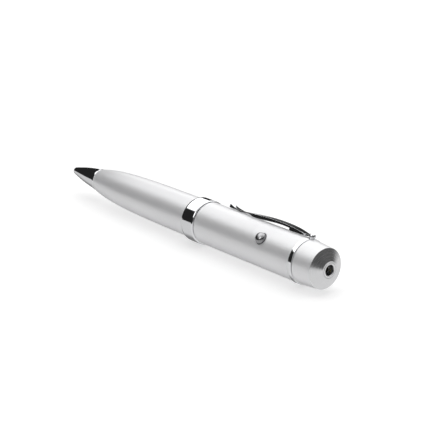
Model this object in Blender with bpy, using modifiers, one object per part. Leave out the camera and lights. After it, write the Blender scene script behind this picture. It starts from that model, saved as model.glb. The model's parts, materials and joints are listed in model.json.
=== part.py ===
"""Twist ballpoint pen with a flash drive and a laser pointer in its upper half.

The pen lies along X with its nose at -X. Every piece is placed on a bench frame whose X axis is the pen's
axis, with x = 0 at the parting plane, the laser button at the side (-Y) and the clip a little round from the
top (+Z). The bench frame is then rolled and lowered until the pen lies on a surface at z = 0.
"""

import math

import bmesh
import bpy
from mathutils import Matrix, Vector

# Clearances
SEAT_GAP = 0.00015
RUN_GAP = 0.00025
PART_GAP = 0.0002

# How the pen lies, and how finely round pieces are faceted
ROLL_DEG = 40.0
SIDES = 32
FINE_SIDES = 20
SMALL_SIDES = 14
CORNER_STEPS = 3
BALL_STEPS = 8
DOME_STEPS = 4
BARREL_STATIONS = 16
NOSE_STATIONS = 8
SMOOTH_DEG = 35.0
WELD = 1e-6
FRAME_SIZE = 0.005

# Plug, which sets the bore of the whole pen
PLUG_W = 0.012
PLUG_H = 0.0045
PLUG_CORNER = 0.0009
PLUG_WALL = 0.00035
PLUG_OUT = 0.01175
PLUG_BACK = 0.007
PLUG_CLEAR = 0.00018
PLUG_END_GAP = 0.0004
WINDOW_L = 0.002
WINDOW_W = 0.0025
WINDOW_SPACING = 0.005
WINDOW_FROM_END = 0.00516
TONGUE_T = 0.00165
TONGUE_L = 0.0087
CONTACT_W = 0.001
CONTACT_T = 0.0002
CONTACT_L = 0.0064
CONTACT_FROM_END = 0.0011
CONTACT_OUTER_Z = 0.0035
CONTACT_INNER_Z = 0.001

# Lower barrel and nose
LOWER_L = 0.0566
LOWER_WALL = 0.00065
LOWER_TAPER = 0.0009
LOWER_SHOULDER = 0.0018
SHOULDER_POWER = 6
MECH_STEP = 0.0007
BORE_CONE_L = 0.01
FRONT_WALL = 0.00065
NOSE_L = 0.0168
NOSE_COLLAR_L = 0.0009
NOSE_COLLAR_STEP = 0.00015
NOSE_TIP_R = 0.00125
NOSE_BULGE = 0.0003
NOSE_HOLE_R = 0.0008
NOSE_HOLE_L = 0.0012
NOSE_SPIGOT_L = 0.006
NOSE_WALL = 0.0008

# Centre band and the socket in it
BAND_L = 0.0062
BAND_STEP = 0.0007
BAND_WALL = 0.00085
BAND_LIP = 0.00045
SOCKET_RECESS = 0.0003
BULKHEAD_T = 0.002

# Twist mechanism and refill
ADVANCE = 0.004
TWIST_DEG = 180.0
HOUSING_L = 0.0265
HOUSING_R = 0.0034
HOUSING_BORE_R = 0.0026
HOUSING_FLANGE_T = 0.001
SLEEVE_L = 0.015
SLEEVE_BACK = 0.0035
LUG_R = 0.001
LUG_FROM_END = 0.0045
SLOT_CLEAR = 0.0003
SLOT_OVERRUN_DEG = 24.0
SLOT_STEPS = 24
DRIVER_L = 0.008
DRIVER_BEHIND_LUG = 0.0025
REFILL_R = 0.00115
REFILL_WALL = 0.00035
REFILL_BACK_GAP = 0.0015
RETRACT = 0.0008
TIP_L = 0.0097
TIP_STEM_L = 0.003
TIP_NECK_R = 0.0005
TIP_NECK_L = 0.0044
BALL_R = 0.00035

# Upper barrel
BARREL_L = 0.047
BARREL_STEP = 0.0004
BARREL_WALL = 0.0007
BARREL_CHAMFER = 0.0002
SPIGOT_STEP = 0.0012
SPIGOT_WALL = 0.0007
SPIGOT_L = 0.0063
BORE_SHOULDER = 0.0015

# Tail: clip ring, seal, cap and bezel
RING_L = 0.0014
RING_PROUD = 0.0002
RING_CHAMFER = 0.0002
LUG_BALL_R = 0.0011
LUG_BALL_LIFT = 0.0005
LUG_POLE_DEG = 15.0
CAP_SIDE_L = 0.0075
CAP_CONE_L = 0.002
CAP_TAPER = 0.00055
CAP_EDGE_WALL = 0.0003
SEAL_L = 0.0006
SEAL_T = 0.0005
APERTURE_R = 0.00165
BEZEL_R = 0.0025
BEZEL_FLANGE_R = 0.0033
BEZEL_FLANGE_T = 0.0005
BEZEL_CHAMFER = 0.0003
BEZEL_PROUD = 0.0001
WINDOW_R = 0.00205
WINDOW_T = 0.001

# Laser module
LASER_FLANGE_L = 0.0038
LASER_BOARD_R = 0.0049
BOARD_T = 0.0008
DIODE_R = 0.0028
DIODE_CAN_R = 0.00235
DIODE_BASE_T = 0.0012
DIODE_CAN_L = 0.0028
DIODE_LEDGE = 0.0005
LENS_R = 0.00325
LENS_FLAT_R = 0.0016
LENS_EDGE_T = 0.0012
LENS_CROWN = 0.0005
LENS_LEDGE_R = 0.0022
LENS_LEDGE_T = 0.0005
LENS_FROM_FRONT = 0.0039

# Cells and their contacts: the cells lean away from the switch and the clip, which balances the pen
CELL_LEAN_DEG = 50.0
CELL_R = 0.00395
CELL_L = 0.0036
CELL_CAP_R = 0.0032
CELL_CAP_L = 0.0004
CELL_COUNT = 3
CELL_PLATE_R = 0.0036
CELL_PLATE_T = 0.0004
SPRING_L = 0.0026
SPRING_WIRE_R = 0.00022
SPRING_WIDE_R = 0.003
SPRING_NARROW_R = 0.002
SPRING_TURNS = 2.5
SPRING_POINTS = 10
LEAST_WIRE_GAP = 0.0004

# Drive: cradle halves, board and chips
MOUTH_RECESS = 0.0004
CRADLE_WALL = 0.00105
CRADLE_BLOCK_L = 0.0026
CRADLE_END_GAP = 0.001
RIB_T = 0.0008
RIB_HOLE_R = 0.002
DRIVE_BOARD_T = 0.00065
DRIVE_BOARD_Y = 0.000075
DRIVE_BOARD_W = 0.0121
CONTROLLER_SIDE = 0.007
CONTROLLER_T = 0.001
MEMORY_END_GAP = 0.0019
MEMORY_W = 0.0092
MEMORY_T = 0.00105
CRYSTAL_L = 0.0048
CRYSTAL_W = 0.0024
CRYSTAL_T = 0.0016
CHIP_GAP = 0.0005
CHIP_BEVEL = 0.00015

# Laser button and its switch
BUTTON_FROM_TAIL = 0.0146
BUTTON_R = 0.00215
BUTTON_GAP = 0.0002
BUTTON_PROUD = 0.00075
BUTTON_TRAVEL = 0.0005
BUTTON_FLANGE_R = 0.0026
BUTTON_FLANGE_T = 0.00035
PLUNGER_R = 0.0009
PLUNGER_L = 0.0006
SWITCH_SIDE = 0.0035
SWITCH_FLOOR = 0.0003
SWITCH_BOARD_T = 0.0004
SWITCH_BOARD_L = 0.011

# Pocket clip
CLIP_TURN_DEG = 24.0
CLIP_T = 0.00052
CLIP_CROWN = 0.00008
CLIP_FLAT = 0.6
CLIP_ROOT_ARCH = 0.0023
CLIP_LEAF_ARCH = 0.00185
CLIP_ROOT_REACH = 0.0076
CLIP_LEAF_REACH = 0.012
CLIP_ROOT_BACK = 0.00155
CLIP_ARM_L = 0.0306
CLIP_CONTACT_GAP = 0.00015
CLIP_FLICK_L = 0.0066
CLIP_FLICK_LIFT = 0.0009
CLIP_TIP_W = 0.0017
CLIP_NECK_W = 0.002
CLIP_LEAF_W = 0.0045
CLIP_LEAF_FROM_CONTACT = 0.0075
CLIP_ROOT_W = 0.0036
CLIP_STUB_W = 0.0015
CLIP_STUB_L = 0.0008
CLIP_STUB_GAP = 0.0002
CLIP_ARM_STEPS = 18
CLIP_TIP_STEPS = 5
CLIP_SWELL = 0.0008
CLIP_ROOT_SWELL = 0.0003
CLIP_UNDER_GAP = 0.0003
BLOCK_L = 0.0061
BLOCK_GAP = 0.0006
BLOCK_SLOPE = 0.0003

# Radii that follow from the plug outwards
PLUG_DIAGONAL_R = math.hypot(PLUG_W / 2 - PLUG_CORNER, PLUG_H / 2 - PLUG_CORNER) + PLUG_CORNER
LOWER_BORE_R = PLUG_DIAGONAL_R + PLUG_CLEAR
LOWER_R = LOWER_BORE_R + LOWER_WALL
LOWER_END_R = LOWER_R - LOWER_TAPER - LOWER_SHOULDER
NOSE_BORE_R = LOWER_END_R - FRONT_WALL
MECH_BORE_R = LOWER_BORE_R - MECH_STEP
BAND_R = LOWER_R + BAND_STEP
BAND_BORE_R = BAND_R - BAND_WALL
BARREL_R = BAND_R - BARREL_STEP
BORE_R = BARREL_R - BARREL_WALL
SPIGOT_R = BARREL_R - SPIGOT_STEP
SPIGOT_BORE_R = SPIGOT_R - SPIGOT_WALL
RING_R = BARREL_R + RING_PROUD
CRADLE_R = BORE_R - SEAT_GAP
CRADLE_BORE_R = CRADLE_R - CRADLE_WALL
SLEEVE_R = MECH_BORE_R - SEAT_GAP
SLEEVE_BORE_R = HOUSING_R + RUN_GAP
DRIVER_R = HOUSING_BORE_R - RUN_GAP
SEAL_R = SPIGOT_R + SEAT_GAP + SEAL_T

# Stations along the pen, from the parting plane towards the nose
BAND_X1 = -PART_GAP
BAND_X0 = BAND_X1 - BAND_L
LOWER_X1 = BAND_X0 - PART_GAP
LOWER_X0 = LOWER_X1 - LOWER_L
NOSE_X1 = LOWER_X0 - SEAT_GAP
NOSE_X0 = NOSE_X1 - NOSE_L
SOCKET_FLOOR_X = -PLUG_OUT - PLUG_END_GAP
SOCKET_X0 = SOCKET_FLOOR_X - BULKHEAD_T
HOUSING_X1 = SOCKET_X0 - SEAT_GAP
HOUSING_X0 = HOUSING_X1 - HOUSING_L
SLEEVE_X1 = HOUSING_X1 - HOUSING_FLANGE_T - SLEEVE_BACK
SLEEVE_X0 = SLEEVE_X1 - SLEEVE_L
LUG_X = SLEEVE_X1 - LUG_FROM_END
REFILL_X1 = HOUSING_X1 - REFILL_BACK_GAP
BALL_X = NOSE_X0 + RETRACT
REFILL_X0 = BALL_X + TIP_L

# Stations along the pen, from the parting plane towards the tail
SPIGOT_X1 = BARREL_L + SPIGOT_L
BORE_X1 = BARREL_L - BORE_SHOULDER
BUTTON_X = BARREL_L - BUTTON_FROM_TAIL
RING_X0 = BARREL_L + SEAT_GAP
RING_X1 = RING_X0 + RING_L
POST_X = (RING_X0 + RING_X1) / 2
CAP_X0 = RING_X1 + PART_GAP
CAP_EDGE_X = CAP_X0 + CAP_SIDE_L
CAP_X1 = CAP_EDGE_X + CAP_CONE_L
CAP_FLOOR_X = CAP_EDGE_X - CAP_EDGE_WALL
BEZEL_X0 = CAP_FLOOR_X - SEAT_GAP - BEZEL_FLANGE_T
LASER_X1 = BEZEL_X0 - RUN_GAP
LASER_FLANGE_X1 = BORE_X1 - SEAT_GAP
LASER_X0 = LASER_FLANGE_X1 - LASER_FLANGE_L
LASER_BOARD_X0 = LASER_X0 - SEAT_GAP - BOARD_T
SPRING_X1 = LASER_BOARD_X0 - SEAT_GAP
CELLS_X1 = SPRING_X1 - SPRING_L - SEAT_GAP
CELL_STEP = CELL_L + SEAT_GAP
CELLS_X0 = CELLS_X1 - CELL_COUNT * CELL_STEP + SEAT_GAP
CELL_PLATE_X0 = CELLS_X0 - SEAT_GAP - CELL_PLATE_T
RIB_X0 = CELL_PLATE_X0 - SEAT_GAP - RIB_T
CRADLE_X1 = LASER_BOARD_X0 - CRADLE_END_GAP
DRIVE_BOARD_X0 = PLUG_BACK + SEAT_GAP
DRIVE_BOARD_X1 = RIB_X0 - SEAT_GAP
MEMORY_X0 = DRIVE_BOARD_X0 + MEMORY_END_GAP
MEMORY_L = DRIVE_BOARD_X1 - MEMORY_END_GAP - MEMORY_X0
CONTROLLER_X0 = DRIVE_BOARD_X0 + CHIP_GAP
CRYSTAL_X0 = CONTROLLER_X0 + CONTROLLER_SIDE + CHIP_GAP

# Depths at the button, measured outwards from the pen's axis
CELL_OFFSET = CRADLE_BORE_R - SEAT_GAP - CELL_R
CELL_Y = CELL_OFFSET * math.cos(math.radians(CELL_LEAN_DEG))
CELL_Z = -CELL_OFFSET * math.sin(math.radians(CELL_LEAN_DEG))
FLANGE_OUT = math.sqrt((BORE_R - SEAT_GAP) ** 2 - BUTTON_FLANGE_R**2)
FLANGE_IN = FLANGE_OUT - BUTTON_FLANGE_T
PLUNGER_OUT = FLANGE_IN - SEAT_GAP
PLUNGER_IN = PLUNGER_OUT - PLUNGER_L
SWITCH_OUT = FLANGE_IN - BUTTON_TRAVEL - RUN_GAP
SWITCH_RECESS = PLUNGER_IN - BUTTON_TRAVEL - SEAT_GAP
SWITCH_IN = SWITCH_RECESS - SWITCH_FLOOR
SWITCH_BOARD_OUT = SWITCH_IN - SEAT_GAP
SWITCH_BOARD_W = 2 * math.sqrt((CRADLE_BORE_R - SEAT_GAP) ** 2 - SWITCH_BOARD_OUT**2)

# The clip's middle surface, on a bench turned so that the clip is straight up
CLIP_ROOT_X = RING_X0 - CLIP_ROOT_BACK
CLIP_CONTACT_X = CLIP_ROOT_X - CLIP_ARM_L
CLIP_LEAF_X = CLIP_CONTACT_X + CLIP_LEAF_FROM_CONTACT
STUB_Z = RING_R + LUG_BALL_LIFT
STUB_X1 = POST_X - LUG_BALL_R + CLIP_STUB_L
CLIP_CONTACT_Z = BARREL_R + CLIP_CONTACT_GAP + CLIP_T / 2
CLIP_BELOW = -CLIP_T / 2
CLIP_EDGE = CLIP_T / 2 - CLIP_CROWN
CLIP_TOP = CLIP_T / 2 + CLIP_CROWN
CLIP_OUTLINE = (
    (-1, CLIP_BELOW),
    (1, CLIP_BELOW),
    (1, CLIP_EDGE),
    (CLIP_FLAT, CLIP_TOP),
    (-CLIP_FLAT, CLIP_TOP),
    (-1, CLIP_EDGE),
)
BLOCK_X1 = CLIP_ROOT_X - BLOCK_SLOPE
BLOCK_X0 = BLOCK_X1 - BLOCK_L

# Directions: a piece's own Z axis laid along the pen, or pointed out of its side or its top
ROLL = math.radians(ROLL_DEG)
FACET = 2 * math.pi / SIDES
FLAT_TURN = ROLL % FACET - FACET / 2
ALONG = Matrix.Rotation(math.pi / 2, 4, "Y") @ Matrix.Rotation(FLAT_TURN, 4, "Z")
ALONG_SQUARE = Matrix.Rotation(math.pi / 2, 4, "Y")
SIDEWAYS = Matrix.Rotation(math.pi / 2, 4, "X")
UPRIGHT = Matrix.Identity(4)
CLIP_UP = Matrix.Rotation(math.radians(CLIP_TURN_DEG), 4, "X")


def clear_scene():
    for obj in list(bpy.data.objects):
        bpy.data.objects.remove(obj, do_unlink=True)


def new_collection(name):
    collection = bpy.data.collections.new(name)
    bpy.context.scene.collection.children.link(collection)
    return collection


def finish(name, colour, metallic, roughness):
    material = bpy.data.materials.new(name)
    material.use_nodes = True
    shader = material.node_tree.nodes["Principled BSDF"]
    shader.inputs["Base Color"].default_value = (*colour, 1.0)
    shader.inputs["Metallic"].default_value = metallic
    shader.inputs["Roughness"].default_value = roughness
    return material


clear_scene()
PARTS = new_collection("flash_drive_pen")
CUTTERS = new_collection("cutters")

SATIN = finish("satin_aluminium", (0.72, 0.72, 0.74), 1.0, 0.38)
CHROME = finish("polished_chrome", (0.8, 0.8, 0.82), 1.0, 0.06)
BRASS = finish("turned_brass", (0.72, 0.52, 0.24), 1.0, 0.3)
STEEL = finish("bright_steel", (0.66, 0.66, 0.68), 1.0, 0.25)
GOLD = finish("gold_plate", (0.85, 0.62, 0.25), 1.0, 0.2)
BLACK = finish("black_plastic", (0.02, 0.02, 0.022), 0.0, 0.5)
WHITE = finish("white_plastic", (0.75, 0.75, 0.72), 0.0, 0.5)
BOARD = finish("green_board", (0.03, 0.2, 0.08), 0.0, 0.45)
CHIP = finish("chip_resin", (0.03, 0.03, 0.032), 0.0, 0.6)
RUBBER = finish("black_rubber", (0.02, 0.02, 0.02), 0.0, 0.8)
GLASS = finish("clear_glass", (0.85, 0.88, 0.9), 0.0, 0.05)


def frame(name, bench_place, parent):
    """Empty that carries one moving body, with its origin on that body's joint."""
    empty = bpy.data.objects.new(name, None)
    empty.empty_display_size = FRAME_SIZE
    PARTS.objects.link(empty)
    empty["bench_place"] = bench_place
    if parent:
        empty.parent = parent
        empty.location = Vector(bench_place) - Vector(parent["bench_place"])
    return empty


PEN = frame("pen_frame", (0, 0, 0), None)
PEN.rotation_euler = (-ROLL, 0, 0)
WRITING_HALF = frame("pull_apart_frame", (0, 0, 0), PEN)
TWIST = frame("barrel_twist_frame", (LOWER_X1, 0, 0), WRITING_HALF)
REFILL = frame("refill_advance_frame", (LUG_X, 0, 0), WRITING_HALF)
BUTTON = frame("laser_button_frame", (BUTTON_X, -BARREL_R, 0), PEN)
CAP_SLIDE = frame("tail_cap_advance_frame", (CAP_X0, 0, 0), PEN)
CAP_TURN = frame("tail_cap_turn_frame", (CAP_X0, 0, 0), CAP_SLIDE)
CLIP_PIVOT = frame("clip_flex_frame", CLIP_UP @ Vector((STUB_X1, 0, STUB_Z)), PEN)


def placed(name, mesh, material, body, bench_matrix):
    """Object of the mesh at a place on the bench, carried by a body's frame. With no body it is a cutter."""
    obj = bpy.data.objects.new(name, mesh)
    if body:
        PARTS.objects.link(obj)
        mesh.materials.append(material)
    else:
        CUTTERS.objects.link(obj)
        obj.hide_render = True
        obj.display_type = "WIRE"
    obj.parent = body or PEN
    obj.matrix_local = Matrix.Translation(-Vector(obj.parent["bench_place"])) @ bench_matrix
    return obj


def arc(centre, radius, start_deg, end_deg, steps):
    """Points of a circular arc in a profile, as (station, radius) pairs."""
    angles = [math.radians(start_deg + (end_deg - start_deg) * i / steps) for i in range(steps + 1)]
    return [(centre[0] + radius * math.cos(a), centre[1] + radius * math.sin(a)) for a in angles]


def turned(name, outer, inner, material=None, body=None, lie=ALONG, at=(0, 0, 0), sides=SIDES):
    """Ring turned about its own Z axis from (station, radius) pairs, or a solid one with no inner side."""
    if inner:
        profile = list(reversed(outer)) + list(inner)
    else:
        profile = [(outer[-1][0], 0.0)] + list(reversed(outer)) + [(outer[0][0], 0.0)]
    points = [(radius, 0.0, station) for station, radius in profile]
    edges = [(i, i + 1) for i in range(len(points) - 1)]
    if inner:
        edges.append((len(points) - 1, 0))
    mesh = bpy.data.meshes.new(name)
    mesh.from_pydata(points, edges, [])
    obj = placed(name, mesh, material, body, Matrix.Translation(at) @ lie)
    screw = obj.modifiers.new("turn", "SCREW")
    screw.axis = "Z"
    screw.angle = 2 * math.pi
    screw.steps = sides
    screw.render_steps = sides
    screw.use_merge_vertices = True
    screw.merge_threshold = WELD
    screw.use_smooth_shade = True
    return obj


def block(name, low, high, material=None, body=None, bevel=0.0, lie=UPRIGHT):
    """Rectangular block between two corners, with its edges cut by the bevel."""
    low, high = Vector(low), Vector(high)
    bm = bmesh.new()
    bmesh.ops.create_cube(bm, size=1.0, matrix=Matrix.Diagonal((*(high - low), 1.0)))
    mesh = bpy.data.meshes.new(name)
    bm.to_mesh(mesh)
    bm.free()
    obj = placed(name, mesh, material, body, lie @ Matrix.Translation((low + high) / 2))
    if bevel:
        rounding = obj.modifiers.new("edges", "BEVEL")
        rounding.width = bevel
        rounding.segments = 1
    return obj


def rounded_rectangle(width, height, corner):
    """Outline of a rectangle with round corners, anticlockwise."""
    outline = []
    for quarter, (sx, sy) in enumerate(((1, 1), (-1, 1), (-1, -1), (1, -1))):
        centre = (sx * (width / 2 - corner), sy * (height / 2 - corner))
        outline += arc(centre, corner, 90 * quarter, 90 * quarter + 90, CORNER_STEPS)
    return outline


def extruded(name, outlines, length, bench_matrix, material=None, body=None):
    """Flat outline given a length along its own Z axis. A second outline inside the first is a hole."""
    flat = bpy.data.curves.new(name, "CURVE")
    flat.dimensions = "2D"
    flat.fill_mode = "BOTH"
    flat.extrude = length / 2
    for outline in outlines:
        spline = flat.splines.new("POLY")
        spline.points.add(len(outline) - 1)
        for point, (x, y) in zip(spline.points, outline):
            point.co = (x, y, 0.0, 1.0)
        spline.use_cyclic_u = True
    return placed(name, welded_mesh(name, flat), material, body, bench_matrix)


def welded_mesh(name, curve):
    """Mesh of a curve with its caps joined to its sides."""
    carrier = bpy.data.objects.new(name, curve)
    CUTTERS.objects.link(carrier)
    bpy.context.view_layer.update()
    evaluated = carrier.evaluated_get(bpy.context.evaluated_depsgraph_get())
    mesh = bpy.data.meshes.new_from_object(evaluated)
    bpy.data.objects.remove(carrier, do_unlink=True)
    bm = bmesh.new()
    bm.from_mesh(mesh)
    bmesh.ops.remove_doubles(bm, verts=bm.verts, dist=WELD)
    bmesh.ops.recalc_face_normals(bm, faces=bm.faces)
    bm.to_mesh(mesh)
    bm.free()
    mesh.materials.clear()
    return mesh


def lofted(name, sections, material=None, body=None, lie=UPRIGHT):
    """Solid skinned over sections of equally many points, closed at both ends."""
    bm = bmesh.new()
    rings = [[bm.verts.new(point) for point in section] for section in sections]
    count = len(rings[0])
    for ring, following in zip(rings, rings[1:]):
        for i in range(count):
            j = (i + 1) % count
            bm.faces.new((ring[i], ring[j], following[j], following[i]))
    bm.faces.new(rings[0])
    bm.faces.new(rings[-1])
    bmesh.ops.recalc_face_normals(bm, faces=bm.faces)
    mesh = bpy.data.meshes.new(name)
    bm.to_mesh(mesh)
    bm.free()
    return placed(name, mesh, material, body, lie)


def combine(obj, other, operation="DIFFERENCE"):
    boolean = obj.modifiers.new(other.name, "BOOLEAN")
    boolean.operation = operation
    boolean.solver = "EXACT"
    boolean.object = other


def smooth(obj):
    obj.data.shade_smooth()
    obj.data.set_sharp_from_angle(angle=math.radians(SMOOTH_DEG))


def lower_barrel_radius(x):
    """Slow taper from the band, with a rounded shoulder that comes in near the nose."""
    u = (LOWER_X1 - x) / LOWER_L
    return LOWER_R - LOWER_TAPER * u**2 - LOWER_SHOULDER * u**SHOULDER_POWER


def make_lower_barrel():
    """Tapered tube with a mouth for the nose, a bore for the twist mechanism and a wider one for the plug."""
    outer = []
    for i in range(BARREL_STATIONS + 1):
        x = LOWER_X0 + LOWER_L * (i / BARREL_STATIONS) ** 2
        outer.append((x, lower_barrel_radius(x)))
    thread_end = LOWER_X0 + NOSE_SPIGOT_L + RUN_GAP
    wide_start = SOCKET_X0 - RUN_GAP
    inner = [
        (LOWER_X0, NOSE_BORE_R),
        (thread_end, NOSE_BORE_R),
        (thread_end + BORE_CONE_L, MECH_BORE_R),
        (wide_start, MECH_BORE_R),
        (wide_start, LOWER_BORE_R),
        (LOWER_X1, LOWER_BORE_R),
    ]
    turned("lower_barrel", outer, inner, SATIN, TWIST)


def make_nose_cone():
    base_r = LOWER_END_R - NOSE_COLLAR_STEP
    collar_x = NOSE_X1 - NOSE_COLLAR_L
    outer = []
    for i in range(NOSE_STATIONS + 1):
        v = i / NOSE_STATIONS
        radius = NOSE_TIP_R + (base_r - NOSE_COLLAR_STEP - NOSE_TIP_R) * v
        outer.append((NOSE_X0 + (collar_x - NOSE_X0) * v, radius + NOSE_BULGE * math.sin(math.pi * v)))
    spigot_r = NOSE_BORE_R - SEAT_GAP
    bore_r = spigot_r - NOSE_WALL
    outer += [
        (collar_x, base_r),
        (NOSE_X1, base_r),
        (NOSE_X1, spigot_r),
        (NOSE_X1 + NOSE_SPIGOT_L, spigot_r),
    ]
    inner = [
        (NOSE_X0, NOSE_HOLE_R),
        (NOSE_X0 + NOSE_HOLE_L, NOSE_HOLE_R),
        (collar_x, bore_r),
        (NOSE_X1 + NOSE_SPIGOT_L, bore_r),
    ]
    turned("nose_cone", outer, inner, CHROME, TWIST)


def make_centre_band():
    flat_r = BAND_R - BAND_LIP
    outer = arc((BAND_X0 + BAND_LIP, flat_r), BAND_LIP, 180, 90, CORNER_STEPS)
    outer += arc((BAND_X1 - BAND_LIP, flat_r), BAND_LIP, 90, 0, CORNER_STEPS)
    inner = [(BAND_X0, BAND_BORE_R), (BAND_X1, BAND_BORE_R)]
    turned("centre_band", outer, inner, CHROME, WRITING_HALF)


def make_plug_socket():
    """Insert in the band: a sleeve that goes on as two cheeks beside the plug, closed by a bulkhead."""
    sleeve_r = BAND_BORE_R - SEAT_GAP
    cheek_r = LOWER_BORE_R - RUN_GAP
    step_x = BAND_X0 + SEAT_GAP
    outer = [
        (SOCKET_X0, cheek_r),
        (step_x, cheek_r),
        (step_x, sleeve_r),
        (BAND_X1 - SOCKET_RECESS, sleeve_r),
    ]
    socket = turned("plug_socket", outer, None, BLACK, WRITING_HALF)
    mouth = rounded_rectangle(PLUG_W + 2 * SEAT_GAP, PLUG_H + 2 * SEAT_GAP, PLUG_CORNER + SEAT_GAP)
    depth = BAND_X1 - SOCKET_FLOOR_X
    middle = Matrix.Translation(((BAND_X1 + SOCKET_FLOOR_X) / 2, 0, 0))
    combine(socket, extruded("plug_pocket_cut", [mouth], depth, middle @ ALONG_SQUARE))
    half_h = PLUG_H / 2 + SEAT_GAP + PLUG_CLEAR
    low = (SOCKET_FLOOR_X, -half_h, -BAND_R)
    high = (LOWER_X1, half_h, BAND_R)
    combine(socket, block("plug_side_cut", low, high))


def make_mechanism_housing():
    flange_x = HOUSING_X1 - HOUSING_FLANGE_T
    outer = [
        (HOUSING_X0, HOUSING_R),
        (flange_x, HOUSING_R),
        (flange_x, MECH_BORE_R - RUN_GAP),
        (HOUSING_X1, MECH_BORE_R - RUN_GAP),
    ]
    inner = [(HOUSING_X0, HOUSING_BORE_R), (HOUSING_X1, HOUSING_BORE_R)]
    housing = turned("mechanism_housing", outer, inner, BRASS, WRITING_HALF, sides=FINE_SIDES)
    side = LUG_R + SLOT_CLEAR
    low = (LUG_X - ADVANCE - side, -side, 0)
    high = (LUG_X + side, side, HOUSING_R + LUG_R)
    combine(housing, block("straight_slot_cut", low, high))


def helical_slot():
    """Cutter swept round the sleeve: it moves towards the nose by the advance as it turns by the twist."""
    lead_angle = math.atan2(ADVANCE, math.radians(TWIST_DEG) * SLEEVE_BORE_R)
    half = (LUG_R + SLOT_CLEAR) / math.cos(lead_angle)
    inside = SLEEVE_BORE_R - LUG_R / 2
    outside = SLEEVE_R + LUG_R / 2
    corners = ((-half, inside), (half, inside), (half, outside), (-half, outside))
    sections = []
    for i in range(SLOT_STEPS + 1):
        turn = -SLOT_OVERRUN_DEG + (TWIST_DEG + 2 * SLOT_OVERRUN_DEG) * i / SLOT_STEPS
        x = LUG_X - ADVANCE * turn / TWIST_DEG
        sine, cosine = math.sin(math.radians(turn)), math.cos(math.radians(turn))
        sections.append([(x + dx, radius * sine, radius * cosine) for dx, radius in corners])
    return lofted("helical_slot_cut", sections)


def make_cam_sleeve():
    outer = [(SLEEVE_X0, SLEEVE_R), (SLEEVE_X1, SLEEVE_R)]
    inner = [(SLEEVE_X0, SLEEVE_BORE_R), (SLEEVE_X1, SLEEVE_BORE_R)]
    sleeve = turned("cam_sleeve", outer, inner, WHITE, TWIST, sides=FINE_SIDES)
    combine(sleeve, helical_slot())


def make_refill():
    driver_x1 = LUG_X + DRIVER_BEHIND_LUG
    driver_x0 = driver_x1 - DRIVER_L
    bore_r = REFILL_R + SEAT_GAP
    driver = turned(
        "refill_driver",
        [(driver_x0, DRIVER_R), (driver_x1, DRIVER_R)],
        [(driver_x0, bore_r), (driver_x1, bore_r)],
        WHITE,
        REFILL,
        sides=FINE_SIDES,
    )
    lug_low = (bore_r + DRIVER_R) / 2
    lug_high = SLEEVE_R - RUN_GAP
    pin = [(lug_low, LUG_R), (lug_high, LUG_R)]
    lug = turned("driver_lug", pin, None, lie=UPRIGHT, at=(LUG_X, 0, 0), sides=SMALL_SIDES)
    combine(driver, lug, "UNION")
    tube_bore_r = REFILL_R - REFILL_WALL
    turned(
        "refill_tube",
        [(REFILL_X0, REFILL_R), (REFILL_X1, REFILL_R)],
        [(REFILL_X0, tube_bore_r), (REFILL_X1, tube_bore_r)],
        STEEL,
        REFILL,
        sides=SMALL_SIDES,
    )
    shoulder_x = REFILL_X0 - SEAT_GAP
    neck_x = BALL_X + BALL_R
    point = arc((neck_x, 0.0), BALL_R, 150, 120, 1)
    point += [
        (neck_x, TIP_NECK_R),
        (neck_x + TIP_NECK_L, TIP_NECK_R),
        (shoulder_x - BALL_R, REFILL_R),
        (shoulder_x, REFILL_R),
        (shoulder_x, tube_bore_r - SEAT_GAP),
        (shoulder_x + TIP_STEM_L, tube_bore_r - SEAT_GAP),
    ]
    turned("refill_tip", point, None, BRASS, REFILL, sides=SMALL_SIDES)


def make_upper_barrel():
    outer = [
        (0.0, BARREL_R - BARREL_CHAMFER),
        (BARREL_CHAMFER, BARREL_R),
        (BARREL_L - BARREL_CHAMFER, BARREL_R),
        (BARREL_L, BARREL_R - BARREL_CHAMFER),
        (BARREL_L, SPIGOT_R),
        (SPIGOT_X1, SPIGOT_R),
    ]
    inner = [
        (0.0, BORE_R),
        (BORE_X1, BORE_R),
        (BORE_X1, SPIGOT_BORE_R),
        (SPIGOT_X1, SPIGOT_BORE_R),
    ]
    barrel = turned("upper_barrel", outer, inner, SATIN, PEN)
    hole_r = BUTTON_R + BUTTON_GAP
    hole = [(CRADLE_BORE_R, hole_r), (BARREL_R + BUTTON_PROUD, hole_r)]
    place = (BUTTON_X, 0, 0)
    combine(barrel, turned("button_hole_cut", hole, None, lie=SIDEWAYS, at=place, sides=FINE_SIDES))


def make_clip_ring():
    outer = [
        (RING_X0, RING_R - RING_CHAMFER),
        (RING_X0 + RING_CHAMFER, RING_R),
        (RING_X1 - RING_CHAMFER, RING_R),
        (RING_X1, RING_R - RING_CHAMFER),
    ]
    bore_r = SPIGOT_R + SEAT_GAP
    ring = turned("clip_ring", outer, [(RING_X0, bore_r), (RING_X1, bore_r)], CHROME, PEN)
    ball = arc((STUB_Z, 0.0), LUG_BALL_R, 180 - LUG_POLE_DEG, LUG_POLE_DEG, BALL_STEPS)
    lug = turned("clip_lug", ball, None, lie=CLIP_UP, at=(POST_X, 0, 0), sides=SMALL_SIDES)
    combine(ring, lug, "UNION")
    half_w = CLIP_STUB_W / 2 + CLIP_STUB_GAP
    half_t = CLIP_TOP + CLIP_STUB_GAP
    low = (POST_X - 2 * LUG_BALL_R, -half_w, STUB_Z - half_t)
    high = (STUB_X1 + CLIP_STUB_GAP, half_w, STUB_Z + half_t)
    combine(ring, block("clip_stub_cut", low, high, lie=CLIP_UP))


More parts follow.
